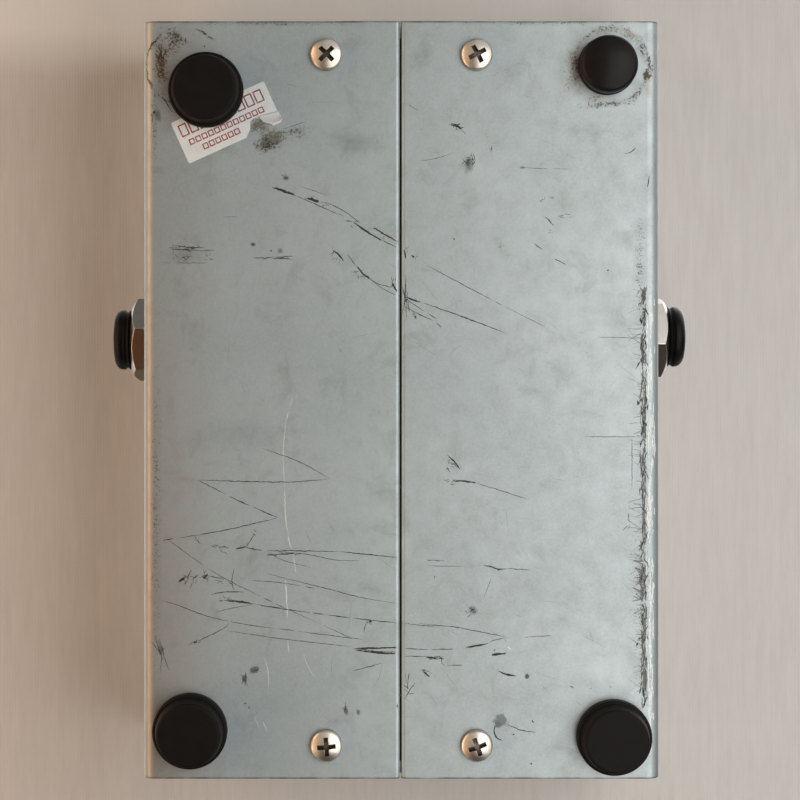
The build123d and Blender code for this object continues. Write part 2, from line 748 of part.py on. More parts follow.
def make_resistors_and_capacitor():
    axis_z = board_top + resistor_radius + 0.1
    resistors = []
    for x, along in resistor_places:
        y = board_front_y + along
        lying = Plane(origin=(x, y, axis_z), x_dir=(1, 0, 0), z_dir=(0, 1, 0))
        body = rod(resistor_radius, -resistor_length / 2, resistor_length / 2)
        body = fillet(body.edges().filter_by(GeomType.CIRCLE), 0.5)
        half = resistor_pitch / 2
        resistor = lying.location * (body + rod(lead_radius, -half, half))
        for end in (-half, half):
            resistor += Pos(x, y + end) * rod(lead_radius, board_top, axis_z + lead_radius)
        resistors.append(resistor)
    save("pad_resistors", *resistors)

    x = capacitor_place[0]
    y = board_front_y + capacitor_place[1]
    width, length, height = capacitor_size
    low = board_top + capacitor_stand
    can = block((x - width / 2, x + width / 2), (y - length / 2, y + length / 2), (low, low + height))
    can = fillet(can.edges(), 0.4)
    for end in (-1, 1):
        can += Pos(x, y + end * length / 3) * rod(lead_radius, board_top, low + 1)
    save("filter_capacitor", can)


# ---------------------------------------------------------------- transformer
def strap_screw_x():
    return core_width / 2 + strap_thickness + strap_screw_out


def make_transformer():
    """E-core transformer standing on the board, strapped down over its core."""
    at = Pos(0, core_y, board_top)
    half_stack = core_stack / 2
    half_core = core_width / 2
    core = block((-half_core, half_core), (-half_stack, half_stack), (0, core_height))
    centre_leg = core_leg
    for side in (-1, 1):
        window = sorted((side * centre_leg, side * (half_core - core_leg)))
        core -= block(window, (-core_stack, core_stack), (core_leg, core_height - core_leg))
    save("transformer_core", at * core)

    tube_x = centre_leg + bobbin_clearance
    tube_y = half_stack + bobbin_clearance
    out_x = half_core - core_leg - bobbin_clearance
    out_y = tube_y + bobbin_wall + winding_bulge
    low = core_leg + bobbin_clearance
    high = core_height - core_leg - bobbin_clearance
    bobbin = block((-out_x, out_x), (-out_y, out_y), (low, high))
    gap_x = (tube_x + bobbin_wall, out_x + 1)
    gap = (low + bobbin_wall, high - bobbin_wall)
    groove = block((-out_x - 1, out_x + 1), (-out_y - 1, out_y + 1), gap)
    groove -= block((-gap_x[0], gap_x[0]), (-tube_y - bobbin_wall, tube_y + bobbin_wall), gap)
    bobbin -= groove
    bobbin -= block((-tube_x, tube_x), (-tube_y, tube_y), (low - 1, high + 1))
    save("transformer_bobbin", at * bobbin)

    wound = block((-out_x + 0.2, out_x - 0.2), (-out_y + 0.5, out_y - 0.5), gap)
    wound = fillet(wound.edges().filter_by(Axis.Z), 1.5)
    wound -= block((-gap_x[0], gap_x[0]), (-tube_y - bobbin_wall, tube_y + bobbin_wall), gap)
    save("transformer_winding", at * wound)

    side_x = half_core + strap_thickness
    strap = block((-side_x, side_x), (-half_stack, half_stack), (0, core_height + strap_thickness))
    strap -= block((-half_core, half_core), (-core_stack, core_stack), (-1, core_height))
    foot_x = side_x + strap_foot
    strap += block((side_x, foot_x), (-half_stack, half_stack), (0, strap_thickness))
    strap += block((-foot_x, -side_x), (-half_stack, half_stack), (0, strap_thickness))
    screw = pan_screw(m25_radius, m25_head_radius, m25_head_height, 5.5)
    screw -= cross_recess(2.6, 0.65, m25_head_height, 0.9, 30.0)
    nut = hex_nut(m25_nut_flats, m25_radius + thread_clearance, 0, m25_nut_height)
    screws, nuts = [], []
    for side in (-1, 1):
        x = side * strap_screw_x()
        strap -= Pos(x, 0) * rod(m25_radius + hole_clearance, -1, strap_thickness + 1)
        screws.append(Pos(x, core_y, board_top + strap_thickness) * screw)
        nuts.append(Pos(x, core_y, board_bottom - m25_nut_height) * nut)
    save("transformer_strap", at * strap)
    save("transformer_screws", *screws)
    save("transformer_nuts", *nuts)

    leads = []
    for x in (-6.0, 0.0, 6.0):
        for side in (-1, 1):
            place = Pos(x, core_y + side * (out_y - 1.0))
            leads.append(place * rod(0.4, board_top, board_top + low))
    save("transformer_leads", *leads)


# ---------------------------------------------------------------- wiring
def wired_jack(side, y):
    """Two wires from a side jack to the rear edge of the board."""
    tag_x = side * (case_width / 2 - sheet - jack_body_depth - jack_tag_length)
    drop = jack_cavity_side / 2 - jack_contact_thickness / 2
    low, high = jack_z - drop, jack_z + drop
    signal = wire(
        (tag_x, y, low),
        (side * 12.5, y, low),
        (side * 12.5, 2, low + 1.5),
        (side * 23, -10, low + 3),
        (side * 24, wire_pad_y, low + 1),
        (side * 24, wire_pad_y, board_top),
    )
    earth = wire(
        (tag_x, y, high),
        (side * 11, y, high),
        (side * 11, 1, high - 1),
        (side * 27, -12, high - 3),
        (side * 28, wire_pad_y, high - 6),
        (side * 28, wire_pad_y, board_top),
    )
    return signal, earth


def make_wires():
    save("input_wires", *wired_jack(1, input_jack_along))
    save("link_wires", *wired_jack(-1, link_jack_along))

    cup_floor = plate_face_y - xlr_cup_depth - xlr_solder_cup_length + xlr_solder_cup_deep
    outputs = []
    for x, up in xlr_pin_places():
        z = plate_mid_z + up
        pad_x = -1.15 * x
        high = z + (2.0 if up > 0 else -2.0)
        outputs.append(
            wire(
                (-x, cup_floor, z),
                (-x, cup_floor - 12, z),
                (pad_x, 18, high),
                (pad_x, -8, high - 0.6),
                (pad_x, wire_pad_y, high - 2),
                (pad_x, wire_pad_y, board_top),
            )
        )
    save("output_wires", *outputs)

    grounds = []
    over = jack_z + jack_body_side / 2 + 4.5
    for step, pad_x in ((0, 16.0), (1, 12.0)):
        start = switch_pin_end(rear_face, -ground_switch_x, step)
        grounds.append(
            wire(
                (start.X, start.Y, start.Z),
                (start.X, start.Y - 11, start.Z),
                (pad_x + 2, 33, over),
                (pad_x, -5, over),
                (pad_x, wire_pad_y, over - 8),
                (pad_x, wire_pad_y, board_top),
            )
        )
    save("ground_switch_wires", *grounds)

    pads = []
    for step in (-1, 0, 1):
        start = switch_pin_end(front_face, pad_switch_x, step)
        x = start.X
        turn_y = start.Y + pad_wire_run
        pads.append(wire((x, start.Y, start.Z), (x, turn_y, start.Z), (x, turn_y, board_top)))
    save("pad_switch_wires", *pads)


os.makedirs("parts", exist_ok=True)
make_case()
make_feet()
make_label()
make_jacks()
make_xlr()
make_switch("ground_switch", rear_face, -ground_switch_x)
make_switch("pad_switch", front_face, pad_switch_x)
make_board()
make_resistors_and_capacitor()
make_transformer()
make_wires()
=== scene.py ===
"""Looks of the direct injection box: finishes, wear marks, painted shade and light, label print, stage,
lights and camera.

The box stands on its feet. The camera looks straight up at its underside.
Places on the underside are written (u, v) in millimetres: u runs to the camera's right, which is -X,
and v runs towards the rear, which is +Y. (0, 0) is the middle of the case.
"""

import math
import random

import bpy
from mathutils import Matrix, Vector


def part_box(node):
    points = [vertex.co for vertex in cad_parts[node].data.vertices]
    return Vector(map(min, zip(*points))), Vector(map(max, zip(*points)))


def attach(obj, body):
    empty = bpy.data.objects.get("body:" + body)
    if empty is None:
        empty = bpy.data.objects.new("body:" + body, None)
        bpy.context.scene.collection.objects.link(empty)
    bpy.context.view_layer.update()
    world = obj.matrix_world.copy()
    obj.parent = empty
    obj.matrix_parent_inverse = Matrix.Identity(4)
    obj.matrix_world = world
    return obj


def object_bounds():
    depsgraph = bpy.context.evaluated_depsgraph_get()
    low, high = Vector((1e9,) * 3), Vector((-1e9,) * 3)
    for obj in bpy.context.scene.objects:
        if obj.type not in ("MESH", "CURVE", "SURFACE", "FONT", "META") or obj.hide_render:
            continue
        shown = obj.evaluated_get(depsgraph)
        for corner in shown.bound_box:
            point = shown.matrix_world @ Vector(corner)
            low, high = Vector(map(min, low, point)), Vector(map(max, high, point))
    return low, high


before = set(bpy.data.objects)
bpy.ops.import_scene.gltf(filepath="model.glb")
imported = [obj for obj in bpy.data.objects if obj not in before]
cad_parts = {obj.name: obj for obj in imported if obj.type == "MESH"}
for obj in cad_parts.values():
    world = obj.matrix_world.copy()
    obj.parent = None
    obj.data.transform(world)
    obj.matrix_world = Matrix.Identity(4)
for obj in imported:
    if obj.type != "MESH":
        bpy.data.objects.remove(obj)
cad_low, cad_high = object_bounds()

# MM is a millimetre in metres, and the sizes after it are in millimetres.
MM = 0.001
sleeve_low, sleeve_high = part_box("sleeve")
CASE_BOTTOM = sleeve_low.z / MM
CASE_TOP = sleeve_high.z / MM
HALF_WIDTH = sleeve_high.x / MM
HALF_LENGTH = sleeve_high.y / MM
SHEET = 1.2
BEND_RADIUS = 2.4
FLAT_HALF = HALF_WIDTH - BEND_RADIUS
# The seam's middle, half its slit, its edges' rounding, and how far that reaches from the middle.
SEAM_X = 0.2
SEAM_HALF = 0.15
LIP_RADIUS = 0.7
SEAM_REACH = SEAM_HALF + LIP_RADIUS

# Sockets of the Mix node that carry colours.
MIX_FIRST, MIX_SECOND, MIX_RESULT = 6, 7, 2


def srgb(code):
    """Scene-linear colour of a screen colour, written 0xRRGGBB."""
    linear = []
    for level in code.to_bytes(3, "big"):
        share = level / 255
        linear.append(share / 12.92 if share <= 0.04045 else ((share + 0.055) / 1.055) ** 2.4)
    return (*linear, 1.0)


# ------ materials: building blocks
class Nodes:
    """Short ways to add nodes to a material or world."""

    def __init__(self, owner):
        owner.use_nodes = True
        self.tree = owner.node_tree

    def feed(self, node, inputs):
        """Links or sets a node's inputs."""
        for key, value in inputs.items():
            if isinstance(value, bpy.types.NodeSocket):
                self.tree.links.new(value, node.inputs[key])
            else:
                node.inputs[key].default_value = value

    def node(self, kind, inputs, **settings):
        """New shader node of this kind, with its inputs linked or set."""
        made = self.tree.nodes.new("ShaderNode" + kind)
        for key, value in settings.items():
            setattr(made, key, value)
        self.feed(made, inputs)
        return made

    def vector(self, operation, *values, **inputs):
        made = self.node("VectorMath", {**dict(enumerate(values)), **inputs}, operation=operation)
        return made.outputs["Value" if operation in ("DOT_PRODUCT", "LENGTH") else "Vector"]

    def math(self, operation, *values):
        return self.node("Math", dict(enumerate(values)), operation=operation).outputs[0]

    def times(self, first, second):
        return self.math("MULTIPLY", first, second)

    def span(self, value, low, high, bottom=0.0, top=1.0):
        """value mapped from low..high to bottom..top, and held there outside."""
        inputs = {0: value, 1: low, 2: high, 3: bottom, 4: top}
        return self.node("MapRange", inputs).outputs[0]

    def saw(self, value, pitch):
        """How far value is through each step of the pitch, from 0 to 1."""
        return self.math("FRACT", self.math("DIVIDE", value, pitch))

    def mix(self, share, first, second):
        inputs = {0: share, MIX_FIRST: first, MIX_SECOND: second}
        return self.node("Mix", inputs, data_type="RGBA").outputs[MIX_RESULT]

    def mottled(self, noise, first, second):
        """Two colours softly parted by a noise."""
        return self.mix(self.span(noise, 0.3, 0.7), first, second)

    def tinged(self, colour, tint, value, low, high, most=1.0):
        """colour with some tint where value goes from low to high, up to the share most."""
        return self.mix(self.span(value, low, high, 0.0, most), colour, tint)


class Finish(Nodes):
    """One material. Texture sizes and places are in millimetres of the row frame."""

    def __init__(self, name, **inputs):
        self.material = bpy.data.materials.new(name)
        super().__init__(self.material)
        self.shader = self.tree.nodes["Principled BSDF"]
        self.feed(self.shader, {key.replace("_", " "): value for key, value in inputs.items()})
        place = self.node("TexCoord", {}).outputs["Object"]
        self.mm = self.vector("SCALE", place, Scale=1 / MM)

    def look(self, colour, normal, roughness=None):
        """Gives the shader its colour and normal, and its roughness where that varies."""
        self.feed(self.shader, {"Base Color": colour, "Normal": normal})
        if roughness:
            self.feed(self.shader, {"Roughness": roughness})
        return self

    def noise(self, size, detail, roughness=0.55, distortion=0.0, stretch=None):
        """Noise with features of about this size, before any stretch."""
        where = self.vector("MULTIPLY", self.mm, stretch) if stretch else self.mm
        inputs = {"Vector": where, "Scale": 1 / size, "Detail": detail}
        inputs.update({"Roughness": roughness, "Distortion": distortion})
        return self.node("TexNoise", inputs).outputs["Fac"]

    def bump(self, height, depth, normal=None):
        inputs = {"Height": height, "Distance": depth * MM, "Strength": 1.0}
        if normal:
            inputs["Normal"] = normal
        return self.node("Bump", inputs).outputs["Normal"]

    def rounded(self, radius):
        """Normal that rounds the piece's edges off."""
        return self.node("Bevel", {"Radius": radius * MM}, samples=6).outputs["Normal"]

    def axis(self, name):
        return self.node("SeparateXYZ", {0: self.mm}).outputs[name]

    def spot(self, u, v, wide, tall, turn, edge_noise, blur):
        """Mask of an oval stain on the underside, with a broken edge."""
        inputs = {"Vector": self.mm, "Location": (-u, v, CASE_BOTTOM)}
        inputs["Rotation"] = (0, 0, math.radians(-turn))
        inputs["Scale"] = (wide, tall, wide + tall)
        local = self.node("Mapping", inputs, vector_type="TEXTURE").outputs[0]
        reach = self.math("ADD", self.vector("LENGTH", local), edge_noise)
        return self.span(reach, 1.0, 1.0 - blur)


def paint(finish, *nodes):
    """Gives CAD nodes a finish."""
    for name in nodes:
        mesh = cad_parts[name].data
        mesh.materials.clear()
        mesh.materials.append(finish.material)


# ------ materials: case
RUST = srgb(0x6A502E)
RUST_DARK = srgb(0x3E2E20)
GRIME = srgb(0x3E3C36)
GLUE = srgb(0x787971)
DUST = srgb(0x928474)
SHADE = srgb(0x585E5C)

# Smooth stains on the underside: u, v, two radii, turn in degrees, colour, strength, edge blur.
STAINS = (
    (-45.6, 53.4, 0.7, 1.5, 10, SHADE, 0.7, 0.7),
    (-9, 48.5, 6.5, 2.6, -12, SHADE, 0.28, 0.9),
    (-21.6, 41.6, 0.8, 0.6, 0, GRIME, 0.75, 0.6),
    (-22.8, 28, 0.7, 0.6, 0, SHADE, 0.7, 0.6),
    (-27.8, 29.2, 0.5, 0.45, 0, GRIME, 0.8, 0.6),
    (-40.5, 27.2, 4.4, 1.9, 0, SHADE, 0.3, 0.9),
    (-29.3, -6.6, 13, 3.8, 4, SHADE, 0.16, 0.9),
    (12.5, 44.2, 1.2, 2, 0, SHADE, 0.75, 0.8),
    (12.4, 44.6, 0.4, 1, 0, GRIME, 0.8, 0.7),
    (22.7, 43.6, 0.6, 0.35, 0, GRIME, 0.7, 0.7),
    (29, -35, 13, 9, 20, SHADE, 0.1, 0.9),
    (-27.6, -50.7, 1.15, 0.75, 25, GRIME, 0.7, 0.4),
    (-29.4, -52.2, 0.6, 0.95, -15, GRIME, 0.7, 0.4),
    (-45.3, -46.6, 0.5, 1.6, 5, GRIME, 0.6, 0.6),
    (-10.4, -58.2, 0.45, 0.9, 5, GRIME, 0.75, 0.5),
    (-8.1, -58.6, 0.4, 0.7, 15, GRIME, 0.7, 0.5),
    (18.7, -60.2, 1.6, 1.4, 0, SHADE, 0.75, 0.35),
    (18.1, -60.9, 0.8, 0.8, 0, GRIME, 0.35, 0.6),
    (23.5, -51.8, 0.45, 0.5, 0, GRIME, 0.9, 0.4),
    (13.4, -39.5, 1.1, 0.9, 0, SHADE, 0.7, 0.9),
    (32.6, 62, 1.9, 4.6, 6, DUST, 0.75, 0.9),
    (43.2, 68.6, 2.2, 0.7, -25, DUST, 0.6, 0.8),
    (39.3, 69.4, 3.4, 0.8, 5, DUST, 0.45, 0.9),
    (46.2, 59, 0.8, 3.4, 0, DUST, 0.4, 0.9),
)
# Dirt and rust in grains: u, v, two radii, turn, colour, density.
GRAINS = (
    (-45.2, 63.4, 1.7, 6.4, 4, RUST, 0.95),
    (-43, 66.6, 3.2, 2.4, 30, RUST, 0.7),
    (-45.2, 65.2, 1.3, 4.2, 6, RUST_DARK, 0.7),
    (-42, 68, 3.6, 1.2, -30, GRIME, 0.75),
    (-26.6, 51.4, 2.8, 2.2, 0, GLUE, 1),
    (-24.6, 48.6, 3.8, 2.5, 26, GLUE, 1.3),
    (-25, 47.9, 3.2, 1.5, 30, GRIME, 0.7),
    (-25.4, 49, 1.1, 0.9, 30, GRIME, 0.8),
    (-20.4, 50.4, 3, 0.9, 14, GRIME, 0.7),
    (-19, 50, 3.4, 2, 14, GLUE, 0.5),
    (32.8, 62.6, 1.3, 3.8, 6, RUST_DARK, 0.75),
    (31.6, 60.4, 2.6, 5, 0, GLUE, 0.4),
    (46.1, 61, 1.2, 1.6, 30, RUST_DARK, 1.3),
    (45, 65.6, 1.2, 3.8, 16, RUST_DARK, 0.65),
    (46.4, 63.4, 0.8, 3.4, 10, GRIME, 0.95),
    (44.2, 57.6, 3.2, 1, 50, RUST_DARK, 0.65),
    (38.6, 55.5, 6.4, 0.9, 4, GRIME, 0.75),
    (36.4, 56.6, 2.4, 1.2, 20, RUST, 0.5),
    (42.6, 68.2, 3.4, 1.2, -28, GLUE, 0.6),
    (38.6, 69.6, 5, 1.2, 5, GRIME, 0.5),
    (-46.4, 52, 0.9, 9, 0, GRIME, 0.5),
    (44.6, 24, 1.6, 16, 0, GRIME, 0.4),
    (-24, 70.6, 22, 0.7, 0, GRIME, 0.4),
    (26, 70.7, 20, 0.7, 0, GRIME, 0.35),
    (45, -38, 2.2, 24, 0, GRIME, 0.4),
    (-46, -20, 1.2, 40, 0, GRIME, 0.34),
)
# Rings that glue and dirt left round the first feet: u, v, radius, width, colour, density.
GLUE_RINGS = (
    (-40.8, 62.7, 7.2, 0.42, GRIME, 1.1),
    (39.3, 62.8, 7, 1, GLUE, 0.4),
    (39.3, 62.8, 7.1, 0.4, GRIME, 0.8),
)
# Share of each grainy patch that is a smooth film under its grains.
HAZE = 0.28


def add_stains(sheet, colour, underside):
    """Smooth stains with ragged edges."""
    ragged = sheet.math("MULTIPLY_ADD", sheet.noise(1.5, 5, 0.65), 1.7, -0.85)
    for *oval, tint, strength, blur in STAINS:
        share = sheet.times(sheet.spot(*oval, ragged, blur), strength)
        colour = sheet.mix(sheet.times(share, underside), colour, tint)
    return colour


def add_grains(sheet, colour, underside):
    """Dirt and glue that lie in specks, denser towards the middle of each patch or ring."""
    coarse = sheet.noise(1.5, 4, 0.65)
    ragged = sheet.math("MULTIPLY_ADD", coarse, 1.4, -0.7)
    wobble = sheet.math("MULTIPLY_ADD", coarse, 1.2, -0.6)
    breaks = sheet.span(sheet.noise(4.5, 3, 0.7), 0.4, 0.62)
    specks = sheet.span(sheet.noise(0.42, 3, 0.7, 0.3), 0.32, 0.68)

    def dusted(under, tint, mask, density):
        cover = sheet.math("MULTIPLY_ADD", mask, density, specks)
        cover = sheet.times(sheet.span(cover, 0.85, 1.3), sheet.span(mask, 0.0, 0.15))
        cover = sheet.math("MAXIMUM", cover, sheet.times(mask, HAZE * density))
        return sheet.mix(sheet.times(cover, underside), under, tint)

    for *oval, tint, density in GRAINS:
        colour = dusted(colour, tint, sheet.spot(*oval, ragged, 0.9), density)
    for u, v, radius, width, tint, density in GLUE_RINGS:
        away = sheet.vector("SUBTRACT", sheet.mm, (-u, v, CASE_BOTTOM))
        off = sheet.math("SUBTRACT", sheet.vector("LENGTH", away), radius)
        off = sheet.math("ABSOLUTE", sheet.math("ADD", off, wobble))
        band = sheet.times(sheet.span(off, width, 0.0), breaks)
        colour = dusted(colour, tint, band, density)
    return colour


def zinc_tone(sheet, clouds, mottle):
    """Zinc grey with fine speckle, pits, smudges and hair scratches."""
    colour = sheet.mottled(clouds, srgb(0x9FABAE), srgb(0xB1BCBF))
    colour = sheet.tinged(colour, srgb(0x8E9696), mottle, 0.35, 0.7, 0.45)
    speckle = sheet.noise(0.4, 2, 0.7)
    colour = sheet.tinged(colour, srgb(0xCAD1D1), speckle, 0.3, 0.75, 0.35)
    pits = sheet.noise(0.55, 3, 0.75)
    colour = sheet.tinged(colour, srgb(0x767C7A), pits, 0.6, 0.78, 0.4)
    smudges = sheet.noise(6.5, 6, 0.7, 0.6)
    colour = sheet.tinged(colour, srgb(0x7C817E), smudges, 0.54, 0.74, 0.42)
    hairs = sheet.noise(3.0, 3, 0.6, 1.2, stretch=(9.0, 0.4, 1.0))
    return sheet.tinged(colour, srgb(0x707572), hairs, 0.66, 0.76, 0.3)


def add_bend_tarnish_and_shade(sheet, colour, clouds, underside):
    """Brown tint towards the bend at the camera's left, stronger towards the front, partly tarnished metal
    and partly painted warm shade; and painted shade on the outer part of the other bend.
    """
    # Brown tint: partly tarnished metal, partly painted warm shade, stronger towards the front.
    tarnish_and_warm_shade = sheet.span(sheet.axis("X"), 0.72 * FLAT_HALF, 1.03 * HALF_WIDTH)
    tarnish_and_warm_shade = sheet.times(tarnish_and_warm_shade, sheet.span(clouds, 0.2, 0.8, 0.3, 0.7))
    tarnish_and_warm_shade = sheet.times(tarnish_and_warm_shade, sheet.span(sheet.axis("Y"), 50.0, -60.0, 0.6, 1.2))
    colour = sheet.mix(sheet.times(tarnish_and_warm_shade, underside), colour, srgb(0x8E7C68))
    # Painted shade: the outer part of the right-hand bend is darkened, as if it faced a darker room.
    shaded_shoulder = sheet.span(sheet.axis("Z"), CASE_BOTTOM + 0.2, CASE_BOTTOM + 0.9)
    wear_and_shade = sheet.span(sheet.axis("X"), -FLAT_HALF, -HALF_WIDTH, 0.0, 0.75)
    return sheet.mix(sheet.times(shaded_shoulder, wear_and_shade), colour, srgb(0x686761))


def add_end_darkening(sheet, colour, mottle, underside):
    """Darker along the sheet's cut edges at both ends."""
    from_middle = sheet.math("ABSOLUTE", sheet.axis("Y"))
    edge = sheet.span(from_middle, HALF_LENGTH - 0.4, HALF_LENGTH - 0.1)
    edge = sheet.times(edge, sheet.span(mottle, 0.3, 0.6, 0.3, 0.9))
    return sheet.mix(sheet.times(edge, underside), colour, GRIME)


def sheet_metal(name, stained_and_shaded):
    """Smooth zinc-grey sheet, with the marks of its use and painted shade towards its bends on the
    underside, where these are asked for.
    """
    sheet = Finish(name, Metallic=0.35)
    clouds = sheet.noise(32, 4, 0.6)
    mottle = sheet.noise(3.2, 4, 0.6)
    colour = zinc_tone(sheet, clouds, mottle)
    if stained_and_shaded:
        underside = sheet.span(sheet.axis("Z"), CASE_BOTTOM + 1.6, CASE_BOTTOM + 0.6)
        colour = add_bend_tarnish_and_shade(sheet, colour, clouds, underside)
        colour = add_stains(sheet, colour, underside)
        colour = add_grains(sheet, colour, underside)
        colour = add_end_darkening(sheet, colour, mottle, underside)
    peel = sheet.bump(sheet.noise(0.9, 2), 0.006, sheet.rounded(0.2))
    return sheet.look(colour, sheet.bump(clouds, 0.12, peel), sheet.span(mottle, 0.25, 0.8, 0.36, 0.5))


# ------ materials: parts
def plated(name, colour, dirt_and_shade, roughness, rounding=0.08, reach=1.1):
    """Bright plating, tarnished in clouds, with fine scratches, and dark brown in its corners that is
    partly grime and partly painted shade.
    """
    metal = Finish(name, Metallic=1.0)
    clouds = metal.noise(1.6, 4, 0.65)
    tone = metal.tinged(colour, dirt_and_shade, clouds, 0.35, 0.75, 0.45)
    # Painted shade with some grime: corners, recesses and rims that ambient occlusion finds closed in are
    # darkened towards dark brown.
    corner_grime_and_shade = metal.node("AmbientOcclusion", {"Distance": reach * MM}, samples=8).outputs["AO"]
    tone = metal.tinged(tone, srgb(0x2C2219), corner_grime_and_shade, 0.82, 0.5, 0.92)
    scratches = metal.bump(metal.noise(0.16, 2), 0.0016, metal.rounded(rounding))
    return metal.look(tone, scratches, metal.span(clouds, 0.3, 0.8, roughness, roughness + 0.16))


def steel(name, colour, roughness):
    """Plain plated or bare metal of the hidden parts."""
    metal = Finish(name, Metallic=0.9)
    grain = metal.noise(0.5, 4, 0.7)
    darker = tuple(0.7 * level for level in colour[:3]) + (1.0,)
    tone = metal.mottled(grain, darker, colour)
    normal = metal.bump(grain, 0.003, metal.rounded(0.06))
    return metal.look(tone, normal, metal.span(grain, 0.2, 0.8, roughness, roughness + 0.15))


def plastic(name, colour, dusty, roughness, rounding=0.12, dust=0.25, shine=0.5):
    """Moulded plastic or lacquer with a fine grain and a little dust."""
    moulding = Finish(name, Specular_IOR_Level=shine)
    powder = moulding.noise(1.4, 5, 0.7)
    tone = moulding.tinged(colour, dusty, powder, 0.45, 0.8, dust)
    normal = moulding.bump(moulding.noise(0.22, 2), 0.004, moulding.rounded(rounding))
    return moulding.look(tone, normal, moulding.span(powder, 0.3, 0.8, roughness, roughness + 0.2))


def rubber(name, roughness, dust, coat):
    """Black rubber: soft sheen, rub marks and dust."""
    foot = Finish(name, Coat_Weight=coat, Coat_Roughness=0.28, Specular_IOR_Level=0.12)
    powder = foot.noise(1.1, 6, 0.75)
    scuffs = foot.noise(2.6, 5, 0.65, 0.8)
    tone = foot.tinged(srgb(0x0B0908), srgb(0x14110F), scuffs, 0.3, 0.75)
    tone = foot.tinged(tone, srgb(0x46423A), powder, 0.6, 0.78, dust)
    rough = foot.span(scuffs, 0.25, 0.8, roughness, roughness + 0.2)
    return foot.look(tone, foot.bump(powder, 0.012), rough)


# The label's top left corner (u, v), its turn, and its ink.
LABEL_CORNER = (-43.3, 51.9)
LABEL_TURN = math.radians(24.4)
LABEL_RED = srgb(0x962226)
# Printed rows of empty boxes: start and end along the label, top, height, pitch, rule.
LABEL_ROWS = (
    (0.9, 18.2, 1.0, 2.4, 1.92, 0.26),
    (1.7, 17.2, 4.2, 1.15, 1.29, 0.22),
    (3.7, 11.4, 6.0, 1.15, 1.29, 0.22),
)
BOX_GAP = 0.16


def label_ink(paper):
    """Mask of the label's plain printed rows."""
    away = paper.vector("SUBTRACT", paper.mm, (-LABEL_CORNER[0], LABEL_CORNER[1], 0))
    right = (-math.cos(LABEL_TURN), math.sin(LABEL_TURN), 0)
    down = (-math.sin(LABEL_TURN), -math.cos(LABEL_TURN), 0)
    along = paper.vector("DOT_PRODUCT", away, right)
    below = paper.vector("DOT_PRODUCT", away, down)

    def stripes(start, pitch, share):
        step = paper.saw(paper.math("SUBTRACT", along, start), pitch)
        return paper.math("LESS_THAN", step, share)

    def between(value, low, high):
        inside = paper.math("GREATER_THAN", value, low)
        return paper.times(inside, paper.math("LESS_THAN", value, high))

    def boxes(start, end, top, height, pitch, rule):
        bottom = top + height
        outer = paper.times(stripes(start, pitch, 1 - BOX_GAP), between(below, top, bottom))
        hollow = stripes(start + rule, pitch, 1 - BOX_GAP - 2 * rule / pitch)
        inner = paper.times(hollow, between(below, top + rule, bottom - rule))
        row = paper.times(outer, paper.math("SUBTRACT", 1.0, inner))
        return paper.times(row, between(along, start, end))

    ink = boxes(*LABEL_ROWS[0])
    for row in LABEL_ROWS[1:]:
        ink = paper.math("MAXIMUM", ink, boxes(*row))
    wear_and_shade = paper.span(paper.noise(0.5, 4, 0.7), 0.3, 0.5, 0.55, 1.0)
    return paper.times(ink, wear_and_shade)


def label_paper():
    """White paper printed with plain red rules: three rows of empty boxes."""
    paper = Finish("label_paper", Roughness=0.55)
    fibres = paper.noise(0.3, 4, 0.7)
    tone = paper.mottled(fibres, srgb(0xE4E7E5), srgb(0xF0F2F0))
    soiling = paper.noise(3.0, 5, 0.7)
    tone = paper.tinged(tone, srgb(0xB0ACA0), soiling, 0.5, 0.75, 0.35)
    return paper.look(paper.mix(label_ink(paper), tone, LABEL_RED), paper.bump(fibres, 0.006))


def resistor_lacquer():
    """Tan lacquer with colour bands across each resistor."""
    lacquer = Finish("resistor_lacquer", Roughness=0.3)
    band = lacquer.math("LESS_THAN", lacquer.saw(lacquer.axis("Y"), 1.5), 0.4)
    band_colour = lacquer.tinged(srgb(0x6E2818), srgb(0x1E1A18), lacquer.noise(1.8, 0), 0.42, 0.58)
    grain = lacquer.noise(0.4, 3)
    tone = lacquer.mottled(grain, srgb(0xC4A878), srgb(0xD4BA8C))
    return lacquer.look(lacquer.mix(band, tone, band_colour), lacquer.bump(grain, 0.004))


def circuit_laminate():
    """Green coated laminate with faint glass weave and paler tracks."""
    laminate = Finish("board_laminate", Roughness=0.32)
    weave = laminate.noise(0.6, 3, stretch=(1.0, 1.0, 4.0))
    tracks = laminate.node("TexBrick", {"Vector": laminate.mm, "Scale": 0.16, "Mortar Size": 0.05})
    tone = laminate.mottled(weave, srgb(0x1C542E), srgb(0x246236))
    tone = laminate.mix(laminate.times(tracks.outputs["Fac"], 0.7), tone, srgb(0x40844E))
    return laminate.look(tone, laminate.bump(weave, 0.01, laminate.rounded(0.1)))


def laminated_core():
    """Stacked transformer sheets: fine dark lines across Y."""
    core = Finish("core_iron", Metallic=0.7, Roughness=0.45)
    step = core.saw(core.axis("Y"), 0.5)
    tone = core.mottled(core.noise(1.2, 4, 0.7), srgb(0x5C5A58), srgb(0x7C7975))
    edge = core.math("LESS_THAN", step, 0.22)
    return core.look(core.mix(core.times(edge, 0.6), tone, srgb(0x242220)), core.bump(step, 0.03))


def winding_tape():
    """Yellow polyester tape wound round the coil."""
    tape = Finish("winding_tape", Roughness=0.28)
    edge = tape.math("LESS_THAN", tape.saw(tape.axis("Z"), 3.2), 0.06)
    grain = tape.noise(1.6, 4)
    tone = tape.mottled(grain, srgb(0xCEA62E), srgb(0xDEBA4A))
    normal = tape.bump(grain, 0.03, tape.rounded(0.3))
    return tape.look(tape.mix(edge, tone, srgb(0x967018)), normal)


